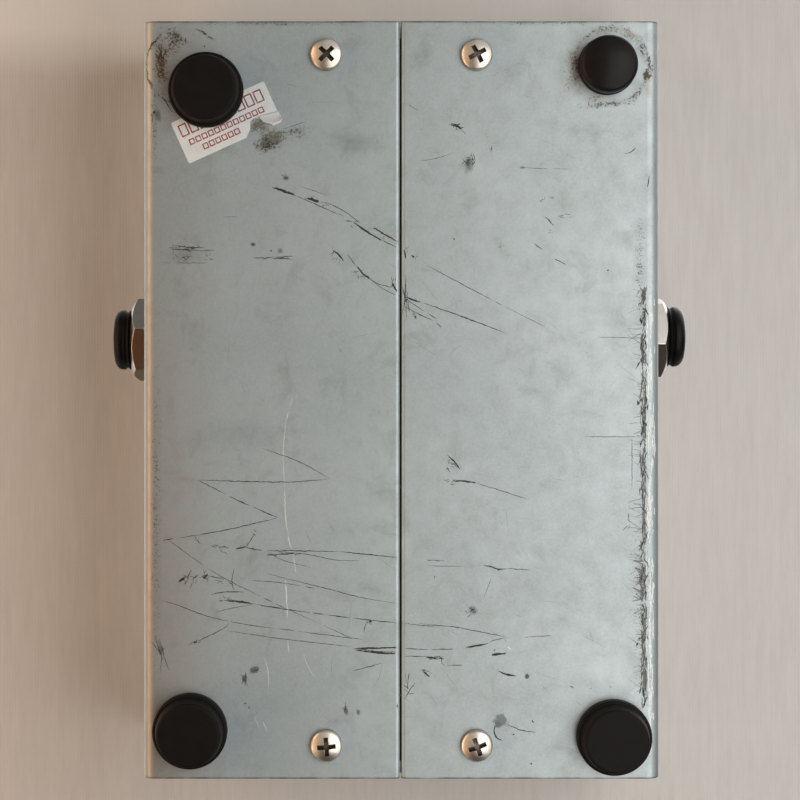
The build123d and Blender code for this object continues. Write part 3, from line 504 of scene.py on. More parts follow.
JACKS = ("input_jack", "link_jack")
SWITCHES = ("ground_switch", "pad_switch")
WIRES = {
    "input_wires": srgb(0xB01E1A),
    "link_wires": srgb(0x243E9C),
    "output_wires": srgb(0xD6D4CE),
    "ground_switch_wires": srgb(0x227434),
    "pad_switch_wires": srgb(0xD0AC22),
}


def finish_metals():
    """Sheet, plating and bare metal."""
    # The screws' long reach darkens their recesses and head rims more: painted shade with some grime.
    nickel = plated("screw_nickel", srgb(0xD2CCC2), srgb(0xA09484), 0.3, 0.08, 2.2)
    jack_nickel = plated("jack_nickel", srgb(0xD8D4CE), srgb(0x968A7C), 0.12, 0.16, 0.5)
    brass = steel("contact_brass", srgb(0xCCA65C), 0.25)
    zinc = steel("zinc_steel", srgb(0xB0B0AA), 0.34)
    tinned = steel("tinned_copper", srgb(0xBEBCB6), 0.3)
    paint(sheet_metal("case_sheet", stained_and_shaded=True), "sleeve")
    paint(sheet_metal("plate_sheet", stained_and_shaded=False), "front_plate", "rear_plate")
    paint(plated("xlr_nickel", srgb(0xBAB8B2), srgb(0x848078), 0.3), "xlr_shell")
    paint(plated("pin_silver", srgb(0xDAD6CC), srgb(0xA09684), 0.18), "xlr_pins")
    paint(steel("rivet_aluminium", srgb(0xC4C4C2), 0.36), "board_rivets")
    paint(nickel, "case_screws", "xlr_screws")
    paint(zinc, "board_brackets", "board_screws", "board_nuts", "xlr_nuts")
    paint(zinc, "transformer_strap", "transformer_screws", "transformer_nuts")
    paint(tinned, "transformer_leads")
    for jack in JACKS:
        paint(jack_nickel, jack + "_nut", jack + "_washer")
        paint(brass, jack + "_contacts")
    for switch in SWITCHES:
        paint(nickel, switch + "_screws")
        paint(zinc, switch + "_bracket", switch + "_nuts")
        paint(tinned, switch + "_pins")
        paint(brass, switch + "_wiper")


def finish_others():
    """Rubber, paper, plastic, lacquer and tape."""
    dusty = srgb(0x605A52)
    foot = rubber("foot_rubber", 0.5, 0.22, 0.0)
    foam = plastic("foot_foam", srgb(0xA8987C), srgb(0x786850), 0.8, 0.05, 0.8)
    bush = plastic("jack_plastic", srgb(0x080707), srgb(0x2E2A26), 0.34, 0.1, 0.06, 0.12)
    insert = plastic("xlr_insert_plastic", srgb(0x100F0F), dusty, 0.5, 0.1, 0.2)
    knob = plastic("switch_knob_plastic", srgb(0x161515), dusty, 0.42, 0.15, 0.25)
    phenolic = plastic("switch_base_board", srgb(0x744A28), srgb(0x92643C), 0.5)
    nylon = plastic("nylon", srgb(0xE2DDCE), srgb(0xC4BAA6), 0.45)
    capacitor = plastic("capacitor_case", srgb(0xA4281A), srgb(0xBE5A46), 0.28)
    paint(foot, "foot_front_left", "foot_front_right", "foot_rear_right")
    paint(rubber("spare_foot_rubber", 0.36, 0.04, 0.08), "foot_rear_left")
    paint(foam, "foot_adhesive_pads")
    paint(label_paper(), "inspection_label")
    paint(insert, "xlr_insert")
    paint(nylon, "board_posts", "transformer_bobbin")
    paint(circuit_laminate(), "circuit_board")
    paint(resistor_lacquer(), "pad_resistors")
    paint(capacitor, "filter_capacitor")
    paint(laminated_core(), "transformer_core")
    paint(winding_tape(), "transformer_winding")
    for jack in JACKS:
        paint(bush, jack + "_body")
    for switch in SWITCHES:
        paint(knob, switch + "_knob")
        paint(phenolic, switch + "_base")
    for name, colour in WIRES.items():
        paint(plastic(name + "_insulation", colour, srgb(0x968C78), 0.4, 0.1, 0.15), name)


# ------ meshes
def add_mesh(name, points, faces, finish):
    """New object in the scene. Its points are in metres."""
    mesh = bpy.data.meshes.new(name)
    mesh.from_pydata(points, [], faces)
    mesh.materials.append(finish.material)
    mesh.update()
    made = bpy.data.objects.new(name, mesh)
    bpy.context.scene.collection.objects.link(made)
    return made


# ------ wear marks, a painted highlight and painted shade
def on_skin(u, v, lift):
    """Point on the underside, its side bends or the seam's rounded lips, raised off the metal by lift."""
    over = abs(u) - FLAT_HALF
    if over <= 0:
        into_lip = SEAM_REACH - max(abs(u + SEAM_X), SEAM_HALF)
        drop = LIP_RADIUS - math.sqrt(LIP_RADIUS**2 - into_lip**2) if into_lip > 0 else 0.0
        return Vector((-u, v, CASE_BOTTOM + drop - lift)) * MM
    angle = min(over / BEND_RADIUS, math.pi / 2)
    radius = BEND_RADIUS + lift
    x = FLAT_HALF + radius * math.sin(angle)
    z = CASE_BOTTOM + BEND_RADIUS - radius * math.cos(angle)
    return Vector((-math.copysign(x, u), v, z)) * MM


def curve_point(before, start, end, after, t):
    """Catmull-Rom curve from start, at t = 0, to end, at t = 1."""
    return tuple(
        0.5 * (2 * b + (c - a) * t + (2 * a - 5 * b + 4 * c - d) * t**2 + (3 * b - a - 3 * c + d) * t**3)
        for a, b, c, d in zip(before, start, end, after)
    )


def smooth_path(points, step):
    """Evenly stepped points along a smooth curve through given ones."""
    ends = [points[0], *points, points[-1]]
    path = []
    for before, start, end, after in zip(ends, ends[1:], ends[2:], ends[3:]):
        steps = max(1, round(math.dist(start, end) / step))
        path += [curve_point(before, start, end, after, index / steps) for index in range(steps)]
    path.append(points[-1])
    return path


def pairs(numbers):
    """Places (u, v) from a flat row of numbers."""
    return list(zip(numbers[::2], numbers[1::2]))


class Marks:
    """Thin closed slivers on the metal and bars in its gaps, all in one mesh."""

    # How deep the slivers' edges lie in the metal, the step between their points, a gouge's strands.
    BURY = 0.012
    STEP = 0.45
    STRANDS = 4

    def __init__(self, name, seed, height):
        self.name = name
        self.chance = random.Random(seed)
        self.height = height
        self.points = []
        self.faces = []

    def sliver(self, path, width, ragged):
        """One sliver along a path, tapered to a point at both ends."""
        first = len(self.points)
        count = len(path)
        for index, (u, v) in enumerate(path):
            before = path[max(index - 1, 0)]
            after = path[min(index + 1, count - 1)]
            run = math.dist(before, after) or 1.0
            side_u = (before[1] - after[1]) / run
            side_v = (after[0] - before[0]) / run
            taper = math.sin(math.pi * (index + 0.15) / (count - 0.7)) ** 0.4
            left = 0.5 * width * taper * (1 + self.chance.uniform(-ragged, ragged))
            right = 0.5 * width * taper * (1 + self.chance.uniform(-ragged, ragged))
            for off, lift in ((left, -self.BURY), (0.0, self.height * taper), (-right, -self.BURY)):
                self.points.append(on_skin(u + side_u * off, v + side_v * off, lift))
        for near in range(first, first + 3 * (count - 1), 3):
            for a, b in ((0, 1), (1, 2), (2, 0)):
                self.faces.append((near + a, near + b, near + b + 3, near + a + 3))
        last = first + 3 * (count - 1)
        self.faces.append((first + 2, first + 1, first))
        self.faces.append((last, last + 1, last + 2))

    def line(self, points, width, ragged=0.35, gaps=0.0):
        """One scratch, with a few gaps where the tool skipped."""
        wander = 0.12 * width
        path = [
            (u + self.chance.gauss(0, wander), v + self.chance.gauss(0, wander))
            for u, v in smooth_path(points, self.STEP)
        ]
        piece = []
        for place in path:
            piece.append(place)
            if len(piece) > 4 and self.chance.random() < gaps:
                self.sliver(piece, width * self.chance.uniform(0.7, 1.15), ragged)
                piece = []
        if len(piece) > 1:
            self.sliver(piece, width, ragged)

    def gouge(self, points, width):
        """A broad scrape: several ragged strands side by side."""
        path = smooth_path(points, self.STEP)
        for _ in range(self.STRANDS):
            start = int(self.chance.uniform(0, 0.25) * len(path))
            end = int(self.chance.uniform(0.7, 1.0) * len(path)) + 1
            off = self.chance.uniform(-0.4, 0.4) * width
            piece = [(u, v + off) for u, v in path[start:end]]
            if len(piece) > 2:
                self.line(piece, width * self.chance.uniform(0.4, 0.75), 0.5, 0.06)
        self.line(points, 0.6 * width, 0.5)

    def chip(self, u, v, size):
        """A small ragged dent."""
        for _ in range(3):
            angle = self.chance.uniform(0, math.pi)
            reach = 0.5 * size * self.chance.uniform(0.5, 1.0)
            du, dv = reach * math.cos(angle), reach * math.sin(angle)
            self.sliver([(u - du, v - dv), (u, v), (u + du, v + dv)], 0.5 * size, 0.3)

    def scribble(self, u, v, across, tall, strokes):
        """A knot of short strokes in all directions."""
        for _ in range(strokes):
            start_u = u + self.chance.uniform(-0.5, 0.5) * across
            start_v = v + self.chance.uniform(-0.5, 0.5) * tall
            reach = self.chance.uniform(0.25, 0.7) * max(across, tall)
            angle = self.chance.uniform(0, math.tau)
            end_u = start_u + reach * math.cos(angle)
            end_v = start_v + reach * math.sin(angle) * tall / across
            self.line([(start_u, start_v), (end_u, end_v)], self.chance.uniform(0.1, 0.24), 0.5)

    def block(self, across, along, levels):
        """A plain bar between pairs of X, Y and Z."""
        first = len(self.points)
        self.points += [Vector((x, y, z)) * MM for z in levels for y in along for x in across]
        for face in ((0, 2, 3, 1), (4, 5, 7, 6), (0, 1, 5, 4), (2, 6, 7, 3), (0, 4, 6, 2), (1, 3, 7, 5)):
            self.faces.append(tuple(first + corner for corner in face))

    def build(self, finish):
        piece = add_mesh(self.name, self.points, self.faces, finish)
        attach(piece, "case")


# Scratches on the underside: width, then u and v of each point that the line goes through.
GOUGES = (
    (0.42, -24.2, 39.9, -22, 39.1, -19.8, 38.3), (0.5, -17.6, 37.8, -15.5, 37.2),
    (0.32, -9.2, 33.5, -6.4, 31.5, -3.6, 29.9), (0.34, -5.5, 32.5, -4.3, 31.8, -0.6, 29.6),
    (0.36, -8.3, 24.8, -7.2, 23.6, -5.8, 22.5), (0.5, -1.8, 21.9, -0.9, 20.4),
    (0.36, -12.7, 28, -11.6, 27, -10.8, 26), (0.3, 0.9, 19.3, 3.8, 18.3), (0.4, 0.5, 28.1, 0.8, 26.6),
    (0.34, -9.2, -46.6, -5.5, -46.6, -0.6, -46.5),
    (0.34, -8.9, -46.8, -6.4, -47.1, -3.6, -47.4, -0.6, -47.4), (0.28, -31, -27.9, -29.2, -27.6),
    (0.3, -33.4, -37.6, -30.7, -37.8, -27.3, -38.3),
    (0.3, 15.4, -31, 17.1, -31.4, 18.2, -31.8, 19.9, -31.6), (0.34, 11.8, -46.5, 14.3, -46, 16.4, -45.6),
    (0.42, 16.9, -47.7, 19.6, -47.4), (0.34, 18.1, -50.8, 19.6, -51.5, 21.5, -51.8),
    (0.42, 4.6, -48.3, 7, -48.4), (0.4, 4.1, -50.8, 5.2, -51.8), (0.32, 8.6, -10.3, 9.9, -11.6, 11, -13.1),
    (0.36, 9.5, -15.2, 11.6, -15.3, 14, -15.6), (0.36, 8.9, 51.7, 10.3, 51.4, 11.3, 50.6),
    (0.45, -41.8, -34, -40.6, -33.1), (0.4, -37.2, -33.4, -36.4, -32.8),
)
LINES = (
    (0.16, -19.8, 38.3, -14.8, 36.1, -10.8, 34.4), (0.16, -15.5, 37.2, -13.3, 36.7, -10.2, 35, -7.7, 33),
    (0.16, -3.6, 29.9, -0.8, 28.5), (0.16, -10.2, 27.4, -8.3, 24.8),
    (0.18, -6.4, 23.2, -4.7, 21.9, -1.8, 21.1), (0.13, -5.8, 22.5, -3.6, 20.9, -0.9, 19.6),
    (0.22, 3.8, 18.3, 10.9, 15.8, 19.4, 12.6), (0.15, 1.4, 18.5, 4.3, 16.6, 6.6, 15.2),
    (0.18, 0.5, 17.6, 3.5, 16, 6, 14.8, 7.5, 13.6), (0.14, 0.5, 20.9, 0.7, 16.4),
    (0.14, 1.2, 20.4, 0.4, 17.7), (0.15, 4.5, 25.4, 11, 21.9, 17.4, 18.5), (0.1, 17.4, 18.5, 26.9, 13.7),
    (0.16, -26.2, -9, -19.2, -11.6, -13.4, -14.8), (0.2, -13.4, -14.8, -22.5, -15.4, -38.2, -15),
    (0.2, -38.2, -15, -30.7, -18.8, -23.2, -22.1), (0.2, -23.2, -22.1, -33.5, -24.5, -44.7, -26.3),
    (0.15, -43.8, -26.2, -38.8, -29.8, -32.9, -33.6, -22, -39), (0.11, -22, -39, -17.6, -40.9, -9.2, -44.8),
    (0.2, -29.2, -27.7, -25.4, -28.2, -18, -28.3, -11.7, -28.4),
    (0.22, -11.7, -28.4, -6.1, -29, -0.7, -29.5), (0.12, -24.2, -28.4, -18, -28.9, -12.4, -30, -7.7, -30.1),
    (0.2, -23.2, -28.9, -20.1, -28.8), (0.1, -25.1, -28.4, -22.3, -30, -16.7, -31.5),
    (0.15, -27.6, -25, -28.3, -26.3, -29.2, -27.6),
    (0.14, -25.4, -32.5, -21.1, -33.6, -13.9, -35.4, -7.7, -37, -0.7, -38.2),
    (0.14, -28.2, -33.8, -22.3, -34.3, -16.4, -35.3),
    (0.2, -27.3, -38.3, -22, -39.2, -13.9, -40.3, -5.8, -41.3, -0.9, -41.8),
    (0.2, -35.7, -36.5, -33.2, -36, -29.5, -36), (0.14, -36.6, -32.9, -33.5, -33.5),
    (0.15, -31.4, -31.5, -31.8, -33.4, -31.7, -35, -31.2, -35.9), (0.18, -40.2, -33.4, -39.4, -31.8),
    (0.15, -38.5, -26.2, -37.7, -27), (0.18, -34.1, -28, -33.5, -28.7), (0.18, -33.5, -27.3, -32.3, -27.8),
    (0.1, -35.1, -39.9, -31.7, -39, -27.9, -38.4),
    (0.17, -44.9, -37.6, -41.3, -38.7, -36.9, -40.4, -32.3, -41.5),
    (0.14, -32.3, -41.5, -27.3, -42.4, -21.4, -43.1, -14.5, -44, -7.1, -44.9),
    (0.17, -32.3, -41.8, -33.5, -42.9, -37.3, -44.8, -38.8, -45.4),
    (0.14, -32.9, -43.2, -29.2, -43.8, -21.4, -44.9, -9.2, -46.3),
    (0.15, -5.7, -41.4, -6.7, -42, -7.1, -43.7), (0.17, -9.2, -50.8, -6.4, -50.1, -3.6, -49.3),
    (0.15, 0.5, -41.8, 3.7, -42.3, 9, -42.4, 13.4, -43.2, 19.9, -44.5),
    (0.12, 3, -41.9, 10.6, -42.7, 17.1, -44), (0.15, 4.7, -30, 8.1, -30.2), (0.1, 4.7, -31.1, 11.8, -31.2),
    (0.16, 19.9, -31.6, 24, -31.9), (0.08, 16.8, -33.4, 15.3, -37.4),
    (0.14, 16.4, -45.6, 17.1, -45.1, 19.3, -44.7, 19.5, -45.5), (0.15, 23, -44.5, 25.5, -44.3, 28.2, -44.2),
    (0.18, 0.5, -46.6, 4.7, -46.8, 9.7, -46.7),
    (0.18, 0.5, -48, 3.4, -48.1, 7.2, -48.2, 7.8, -49.6, 11.5, -49.7),
    (0.17, 2.5, -53, 1.6, -54.3, 0.6, -56.1), (0.2, 19.9, -60.9, 22.4, -61.9, 25.2, -62.3),
    (0.3, 17.5, -61, 17.4, -62.2, 17.8, -63.3, 19, -63.9), (0.15, 14, -15.6, 18.6, -17, 23.5, -18.6),
    (0.14, 11.3, 50.6, 12.1, 49.8), (0.08, 3.4, 44.8, 6.4, 45.3, 10, 46.4),
    (0.08, 22.7, 43.6, 26, 43.4, 31.4, 43.3), (0.2, 26.8, 34.4, 28.6, 32.7), (0.18, 24.9, 29.3, 26.3, 28.2),
    (0.18, 28.6, 26.5, 30.8, 25.4), (0.18, 41.7, 46.2, 43.1, 46.5, 44, 47.5), (0.12, 1.3, 55.4, 3.1, 54.2),
    (0.12, 34.2, -6.9, 44.7, -6.9), (0.12, 43.2, -6.9, 43.2, -16.9), (0.12, 36.7, 11.8, 44.7, 11.6),
    (0.18, 46.5, 42, 46.1, 39.9), (0.18, -45, 57, -42.9, 53.9), (0.08, -19.2, 40.2, -13.9, 38.3),
    (0.08, -33.5, 34.3, -30.7, 34.4), (0.12, -42.9, 29, -38.2, 28.5), (0.14, -42.5, 28.3, -35.7, 27.9),
    (0.12, -42.9, 29.3, -42.7, 26.4), (0.1, -44.7, 25.7, -36.6, 25.7), (0.12, -22, 50.8, -18, 52.3),
    (0.1, -27.6, 26.5, -23.8, 26.8, -20.1, 26.9), (0.15, -11.7, 9.6, -11.4, 9),
)
BRIGHT_LINES = (
    (0.2, -20.4, 0.4, -21.7, -3.8), (0.12, -21.7, -3.8, -22.2, -10, -21.9, -16.3),
    (0.22, -21.9, -16.3, -21.7, -22.5, -21.1, -26.2, -20.3, -29), (0.14, -20.3, -29, -19.8, -32.5),
    (0.24, -21.7, -33.7, -21.4, -40.9), (0.14, -21.4, -44.9, -21.1, -47.4),
    (0.12, -25.9, -48, -25.1, -50.5, -25, -54.3), (0.1, -18.4, -47.4, -17.6, -49.9, -16.1, -52.1),
    (0.12, -27.6, -59.2, -26.7, -61.6), (0.16, -26, -60.3, -25.1, -62.3), (0.2, 20, -46.3, 20.5, -46.8),
    (0.2, 0.4, -7.9, 0.7, -8.4),
)
# Chips: u, v, size.
CHIPS = (
    (-37, 66.3, 0.5), (9.8, 30.2, 0.5), (2.1, 26.9, 0.9), (-3.7, -47.3, 0.8), (-5.8, -41.5, 0.8),
    (-38.7, -45.4, 0.8), (24.6, -60.3, 0.6), (21, -62.7, 0.5), (31.9, -53.8, 0.6), (35.5, -54.1, 0.4),
    (39.2, -53.8, 0.4), (6.2, -33.2, 0.5), (-29.3, -56.9, 0.5), (-28.6, -57.7, 0.5), (-0.8, -57.4, 0.7),
    (2.6, 15.6, 0.6), (-24.5, 28, 0.5), (24.3, -68.2, 0.5), (38.7, 24.3, 0.6), (17.4, -46.9, 0.5),
)
# Knots of short strokes: u, v, width, height, number of strokes.
SCRIBBLES = (
    (-17.6, 37.6, 1.8, 0.9, 9), (-14, 36.9, 1.6, 0.7, 5), (-8.8, 33.2, 1.8, 0.9, 8),
    (-5.2, 32.2, 1.2, 0.7, 6), (-3.8, 30.3, 1.2, 0.7, 6), (-1, 29.3, 0.9, 0.9, 7),
    (-12.4, 27.3, 2, 1.6, 10), (-7.3, 23.6, 2.2, 1.4, 12), (-1.6, 21.6, 0.9, 1.3, 8),
    (0.9, 19.3, 0.8, 2.4, 12), (2.4, 15.8, 1, 1, 7), (0.8, 28.2, 0.7, 0.9, 6), (2.4, 27, 0.9, 0.6, 5),
    (-39.5, 28.4, 5.6, 1.2, 14), (-41.2, 26.4, 3, 1.2, 9), (-36.4, 26.8, 1.4, 1.2, 6),
    (-24.5, 26.6, 6, 0.6, 9), (-21.7, 41.8, 1, 0.7, 7), (-28.1, 29.3, 0.7, 0.6, 5),
    (-39.8, -33.4, 2.6, 2.4, 12), (-36.9, -33, 1.2, 1.4, 9), (-33.3, -34, 2.4, 0.8, 6),
    (-33.8, -27.9, 1.8, 1.2, 9), (-30, -27.7, 1.2, 0.5, 7), (-27.6, -25.2, 0.9, 0.9, 6),
    (-32.8, -37.6, 2.2, 1, 8), (-38.8, -45.5, 1.3, 0.9, 8), (-5.9, -41.6, 1, 0.7, 7),
    (-21.5, -28.9, 4.4, 0.6, 9), (-38.3, -26.2, 0.8, 0.9, 4), (-3.8, -47.3, 1, 0.5, 6),
    (9, -12.2, 1.8, 2, 9), (9.6, -15.3, 1.6, 1, 9), (13.2, -39.5, 1.6, 1.4, 14), (10, 51.2, 2, 0.8, 7),
    (12.6, 45.2, 1.8, 2.6, 12), (18.4, 29, 1, 0.7, 4), (27.2, 37.6, 1.6, 1, 6), (31, 34.6, 2, 1, 5),
    (28, 31.4, 1, 0.5, 4), (7.1, -48.3, 1.6, 0.6, 8), (4.8, -51.2, 1.6, 1, 8), (1.3, -54.2, 1.2, 2, 6),
    (18.4, -47.6, 2, 0.5, 7), (19.6, -51.2, 2, 0.6, 6), (23.5, -51.8, 0.7, 0.8, 7),
    (-27.6, -50.8, 1.6, 1, 10), (-29.4, -52.4, 0.8, 1.4, 8), (-10.4, -58, 0.7, 1.4, 7),
    (-45.2, -46.8, 0.7, 2.4, 8), (16.8, 47.4, 0.8, 1.2, 3), (42.8, -23.5, 0.8, 1.6, 4),
)
# The scrape down the right-hand bend: from v, to v, number of strands.
SCUFF_SPANS = (
    (21.4, 17.4, 6), (16.8, 13.8, 3), (13.2, 5.8, 5), (6.4, -8, 6), (-7.4, -27.6, 6), (-30.2, -38.2, 7),
    (-38, -57, 5),
)
# Where the scrape and, beside it, the bare metal with its painted highlight run: u.
SCUFF_U = 45.35
BARE_AND_HIGHLIGHT_U = 46.75
# How much wider than written the dark and the bright lines are drawn.
DARK_WIDER = 1.35
BRIGHT_WIDER = 1.6


def scuff_strands(band, dark):
    """The scrape's long ragged strands, and a few dark ones among them."""
    chance = band.chance
    shares = [step / 6 for step in range(7)]
    for top, bottom, strands in SCUFF_SPANS:
        length = top - bottom
        for _ in range(strands):
            u = SCUFF_U + chance.uniform(-0.4, 0.4)
            start = top - chance.uniform(0, 0.15) * length
            end = bottom + chance.uniform(0, 0.15) * length
            points = [(u + chance.gauss(0, 0.13), start + share * (end - start)) for share in shares]
            band.line(points, chance.uniform(0.25, 0.6), 0.7, 0.12)
        for _ in range(2):
            places = [top - share * length for share in (0.1, 0.4, 0.6, 0.9)]
            points = [(SCUFF_U + chance.gauss(0, 0.3), v) for v in places]
            dark.line(points, chance.uniform(0.12, 0.3), 0.6, 0.12)


def scuff_strokes(band, dark):
    """Short strokes along the scrape, hairs that leave it sideways, and a denser tuft of them."""
    chance = band.chance
    for _ in range(150):
        u, v = SCUFF_U + chance.gauss(0, 0.38), chance.uniform(-57, 21)
        reach = chance.uniform(0.3, 1.1)
        lean = chance.gauss(0, 0.4) * reach
        points = [(u - lean, v - reach), (u, v), (u + lean, v + reach)]
        chance.choice((band, dark)).line(points, chance.uniform(0.15, 0.45), 0.7)
    root = SCUFF_U - 0.2
    for _ in range(90):
        v = chance.uniform(-55, 19)
        reach = chance.choice((0.6, 0.8, 1.2, 1.8, 2.8))
        slope = chance.uniform(-0.7, 0.7)
        band.line([(root, v), (root - reach, v + slope * reach)], chance.uniform(0.09, 0.2), 0.3)
    for _ in range(26):
        v = chance.uniform(-38, -30)
        reach = chance.uniform(0.6, 2.2)
        band.line([(SCUFF_U, v), (SCUFF_U - reach, v + chance.uniform(-0.4, 1.4))], 0.28, 0.5)


def bare_and_highlight_strokes(chance, bare):
    """Bright strokes on the bend beside the scrape: partly bare metal, partly a painted highlight of the
    bend.
    """
    for _ in range(95):
        v = chance.uniform(-60, 20)
        length = chance.choice((0.8, 1.4, 2.4, 4.0, 7.0))
        u = BARE_AND_HIGHLIGHT_U + chance.gauss(0, 0.36)
        ends = [(u + chance.gauss(0, 0.1), v - share * length) for share in (0.5, 1)]
        bare.line([(u, v), *ends], chance.uniform(0.2, 0.55), 0.6)


def faint_hairlines(faint):
    """Light handling marks all over the underside."""
    chance = faint.chance
    for _ in range(150):
        u, v = chance.uniform(-44, 44), chance.uniform(-66, 66)
        angle = chance.gauss(-0.4, 0.6)
        reach = chance.choice((0.3, 0.4, 0.5, 0.8, 1.4, 2.6))
        du, dv = reach * math.cos(angle), reach * math.sin(angle)
        bow = chance.uniform(-0.12, 0.12) * reach
        points = [(u - du, v - dv), (u + bow, v - bow), (u + du, v + dv)]
        faint.line(points, chance.uniform(0.07, 0.16), 0.4)


def gap_shade_bars():
    """Dark bars of painted shade in the seam, up to the end plates' bends, and in the gap over each plate's
    top flange.
    """
    # Painted shade: near-black bars put inside the seam's slit and over the plates' top flanges, so these
    # gaps look dark.
    dirt_and_shade = Marks("seam_shade", 14, 0.0)
    side = SEAM_HALF - 0.02
    end = HALF_LENGTH - 3.2
    in_seam = (CASE_BOTTOM + 0.8, CASE_BOTTOM + 1.0)
    dirt_and_shade.block((SEAM_X - side, SEAM_X + side), (-end, end), in_seam)
    roof = CASE_TOP - SHEET
    over_flange = (roof - 0.27, roof - 0.03)
    inset, depth, reach = 5.0, 1.0, 44.0
    for start in (inset - HALF_LENGTH, HALF_LENGTH - inset - depth):
        dirt_and_shade.block((-reach, reach), (start, start + depth), over_flange)
    dirt_and_shade.build(plastic("seam_shade", srgb(0x0A0908), srgb(0x181614), 0.9, 0.01))


def make_marks():
    """All wear marks, with the painted highlight on the right-hand bend and the painted shade in the gaps.
    Their random draws depend on this order.
    """
    dark = Marks("marks_dark", 11, 0.02)
    for width, *numbers in GOUGES:
        dark.gouge(pairs(numbers), DARK_WIDER * width)
    for width, *numbers in LINES:
        dark.line(pairs(numbers), DARK_WIDER * width, 0.45, 0.03)
    for chip in CHIPS:
        dark.chip(*chip)
    for knot in SCRIBBLES:
        dark.scribble(*knot)
    # Bright marks: the lines are bare metal, and the strokes on the right-hand bend are partly bare metal
    # and partly a painted highlight.
    bare = Marks("marks_bare_and_highlight", 12, 0.01)
    for width, *numbers in BRIGHT_LINES:
        bare.line(pairs(numbers), BRIGHT_WIDER * width, 0.4, 0.05)
    band = Marks("edge_scuff", 13, 0.015)
    scuff_strands(band, dark)
    scuff_strokes(band, dark)
    bare_and_highlight_strokes(band.chance, bare)
    faint = Marks("marks_faint", 15, 0.008)
    faint_hairlines(faint)
    dark.build(plastic("scratch_dark", srgb(0x1E201F), srgb(0x424441), 0.6, 0.02, 0.7))
    band.build(plastic("scuffed_metal", srgb(0x60625E), srgb(0x868883), 0.6, 0.02, 0.9))
    faint.build(plastic("scratch_faint", srgb(0x707673), srgb(0x969C99), 0.55, 0.02, 0.9))
    bare.build(plastic("bare_metal_and_highlight", srgb(0xECEEEC), srgb(0xC0C2BF), 0.4, 0.02, 0.8))
    gap_shade_bars()


# ------ label flap
# The label's torn corner: where it is still fixed, and its free edge.
FLAP_HINGE = ((-26.7, 53.3), (-23.1, 54.2))
FLAP_EDGE = ((-26.6, 52.9), (-26.1, 52.3), (-25.1, 51.9), (-23.9, 51.75), (-22.9, 52.0), (-22.35, 52.6))
# Heights of its two faces at the hinge, and how much higher its edge curls.
FLAP_LEVELS = (0.05, 0.13)
FLAP_CURL = 0.75


def flap_points(rim, rows):
    """Points of the flap's lower and upper face, row by row from the hinge to the rim."""
    start, end = map(Vector, FLAP_HINGE)
    points = []
    for level in FLAP_LEVELS:
        for row in range(rows + 1):
            share = row / rows
            lift = level + FLAP_CURL * share**2.5
            for column, place in enumerate(rim):
                hinge = start.lerp(end, column / (len(rim) - 1))
                spot = hinge.lerp(Vector(place), share)
                points.append(on_skin(spot.x, spot.y, lift))
    return points


def thin_sheet_faces(rows, columns):
    """Faces of a closed thin sheet whose points are two equal grids."""
    wide = columns + 1
    other = (rows + 1) * wide
    faces = []
    for row in range(rows):
        for a in range(row * wide, row * wide + columns):
            b = a + wide
            faces.append((a, b, b + 1, a + 1))
            faces.append((other + a, other + a + 1, other + b + 1, other + b))
    rim = [(row * wide + a, wide, order) for row in range(rows) for a, order in ((0, 1), (columns, -1))]
    rim += [(row * wide + a, 1, order) for a in range(columns) for row, order in ((0, -1), (rows, 1))]
    for a, step, order in rim:
        faces.append((a, other + a, other + a + step, a + step)[::order])
    return faces


def make_label_flap():
    """The torn label's loose corner, curled off the metal."""
    rows = 8
    rim = smooth_path(FLAP_EDGE, 0.3)
    faces = thin_sheet_faces(rows, len(rim) - 1)
    finish = plastic("flap_paper", srgb(0xE8E9E6), srgb(0xCECAC0), 0.6, 0.02)
    flap = add_mesh("label_flap", flap_points(rim, rows), faces, finish)
    flap.data.shade_smooth()
    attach(flap, "case")


# ------ stage, lights and camera
BACKDROP = srgb(0xD6D1CB)
# The cloth's height over the feet's lowest point, its hole's margin round the sleeve, and half its size.
CLOTH_LEVEL = 0.0445
CLOTH_MARGIN = 0.0002
CLOTH_HALF = 0.3
CORNERS = ((-1, -1), (1, -1), (1, 1), (-1, 1))


def one_sided(finish, fade_start, fade_end):
    """Shows a stage sheet from its front only, and fades it out away from the box."""
    flat = finish.node("SeparateXYZ", {0: finish.mm})
    spread = finish.node("CombineXYZ", {0: flat.outputs[0], 1: flat.outputs[1]}).outputs[0]
    fade = finish.span(finish.vector("LENGTH", spread), fade_start, fade_end)
    behind = finish.node("NewGeometry", {}).outputs["Backfacing"]
    hidden = finish.math("MAXIMUM", fade, behind)
    clear = finish.node("BsdfTransparent", {}).outputs[0]
    blend = finish.node("MixShader", {0: hidden, 1: finish.shader.outputs[0], 2: clear})
    finish.feed(finish.tree.nodes["Material Output"], {"Surface": blend.outputs[0]})


def camera_only(sheet):
    """The sheet takes shadows and shows to the camera, and does nothing to the light."""
    for ray in ("diffuse", "glossy", "transmission", "shadow"):
        setattr(sheet, "visible_" + ray, False)


def make_floor():
    """Pale floor under the feet, seen from above."""
    floor_paint = Finish("floor_paint", Roughness=0.9)
    tone = floor_paint.mottled(floor_paint.noise(40, 3), srgb(0xE0DCD6), srgb(0xE4E0DA))
    floor_paint.feed(floor_paint.shader, {"Base Color": tone})
    one_sided(floor_paint, 450, 1300)
    bpy.ops.mesh.primitive_plane_add(size=3.0, location=(0, 0, cad_low.z))
    floor = bpy.context.object
    floor.name = "floor"
    floor.data.materials.append(floor_paint.material)
    camera_only(floor)


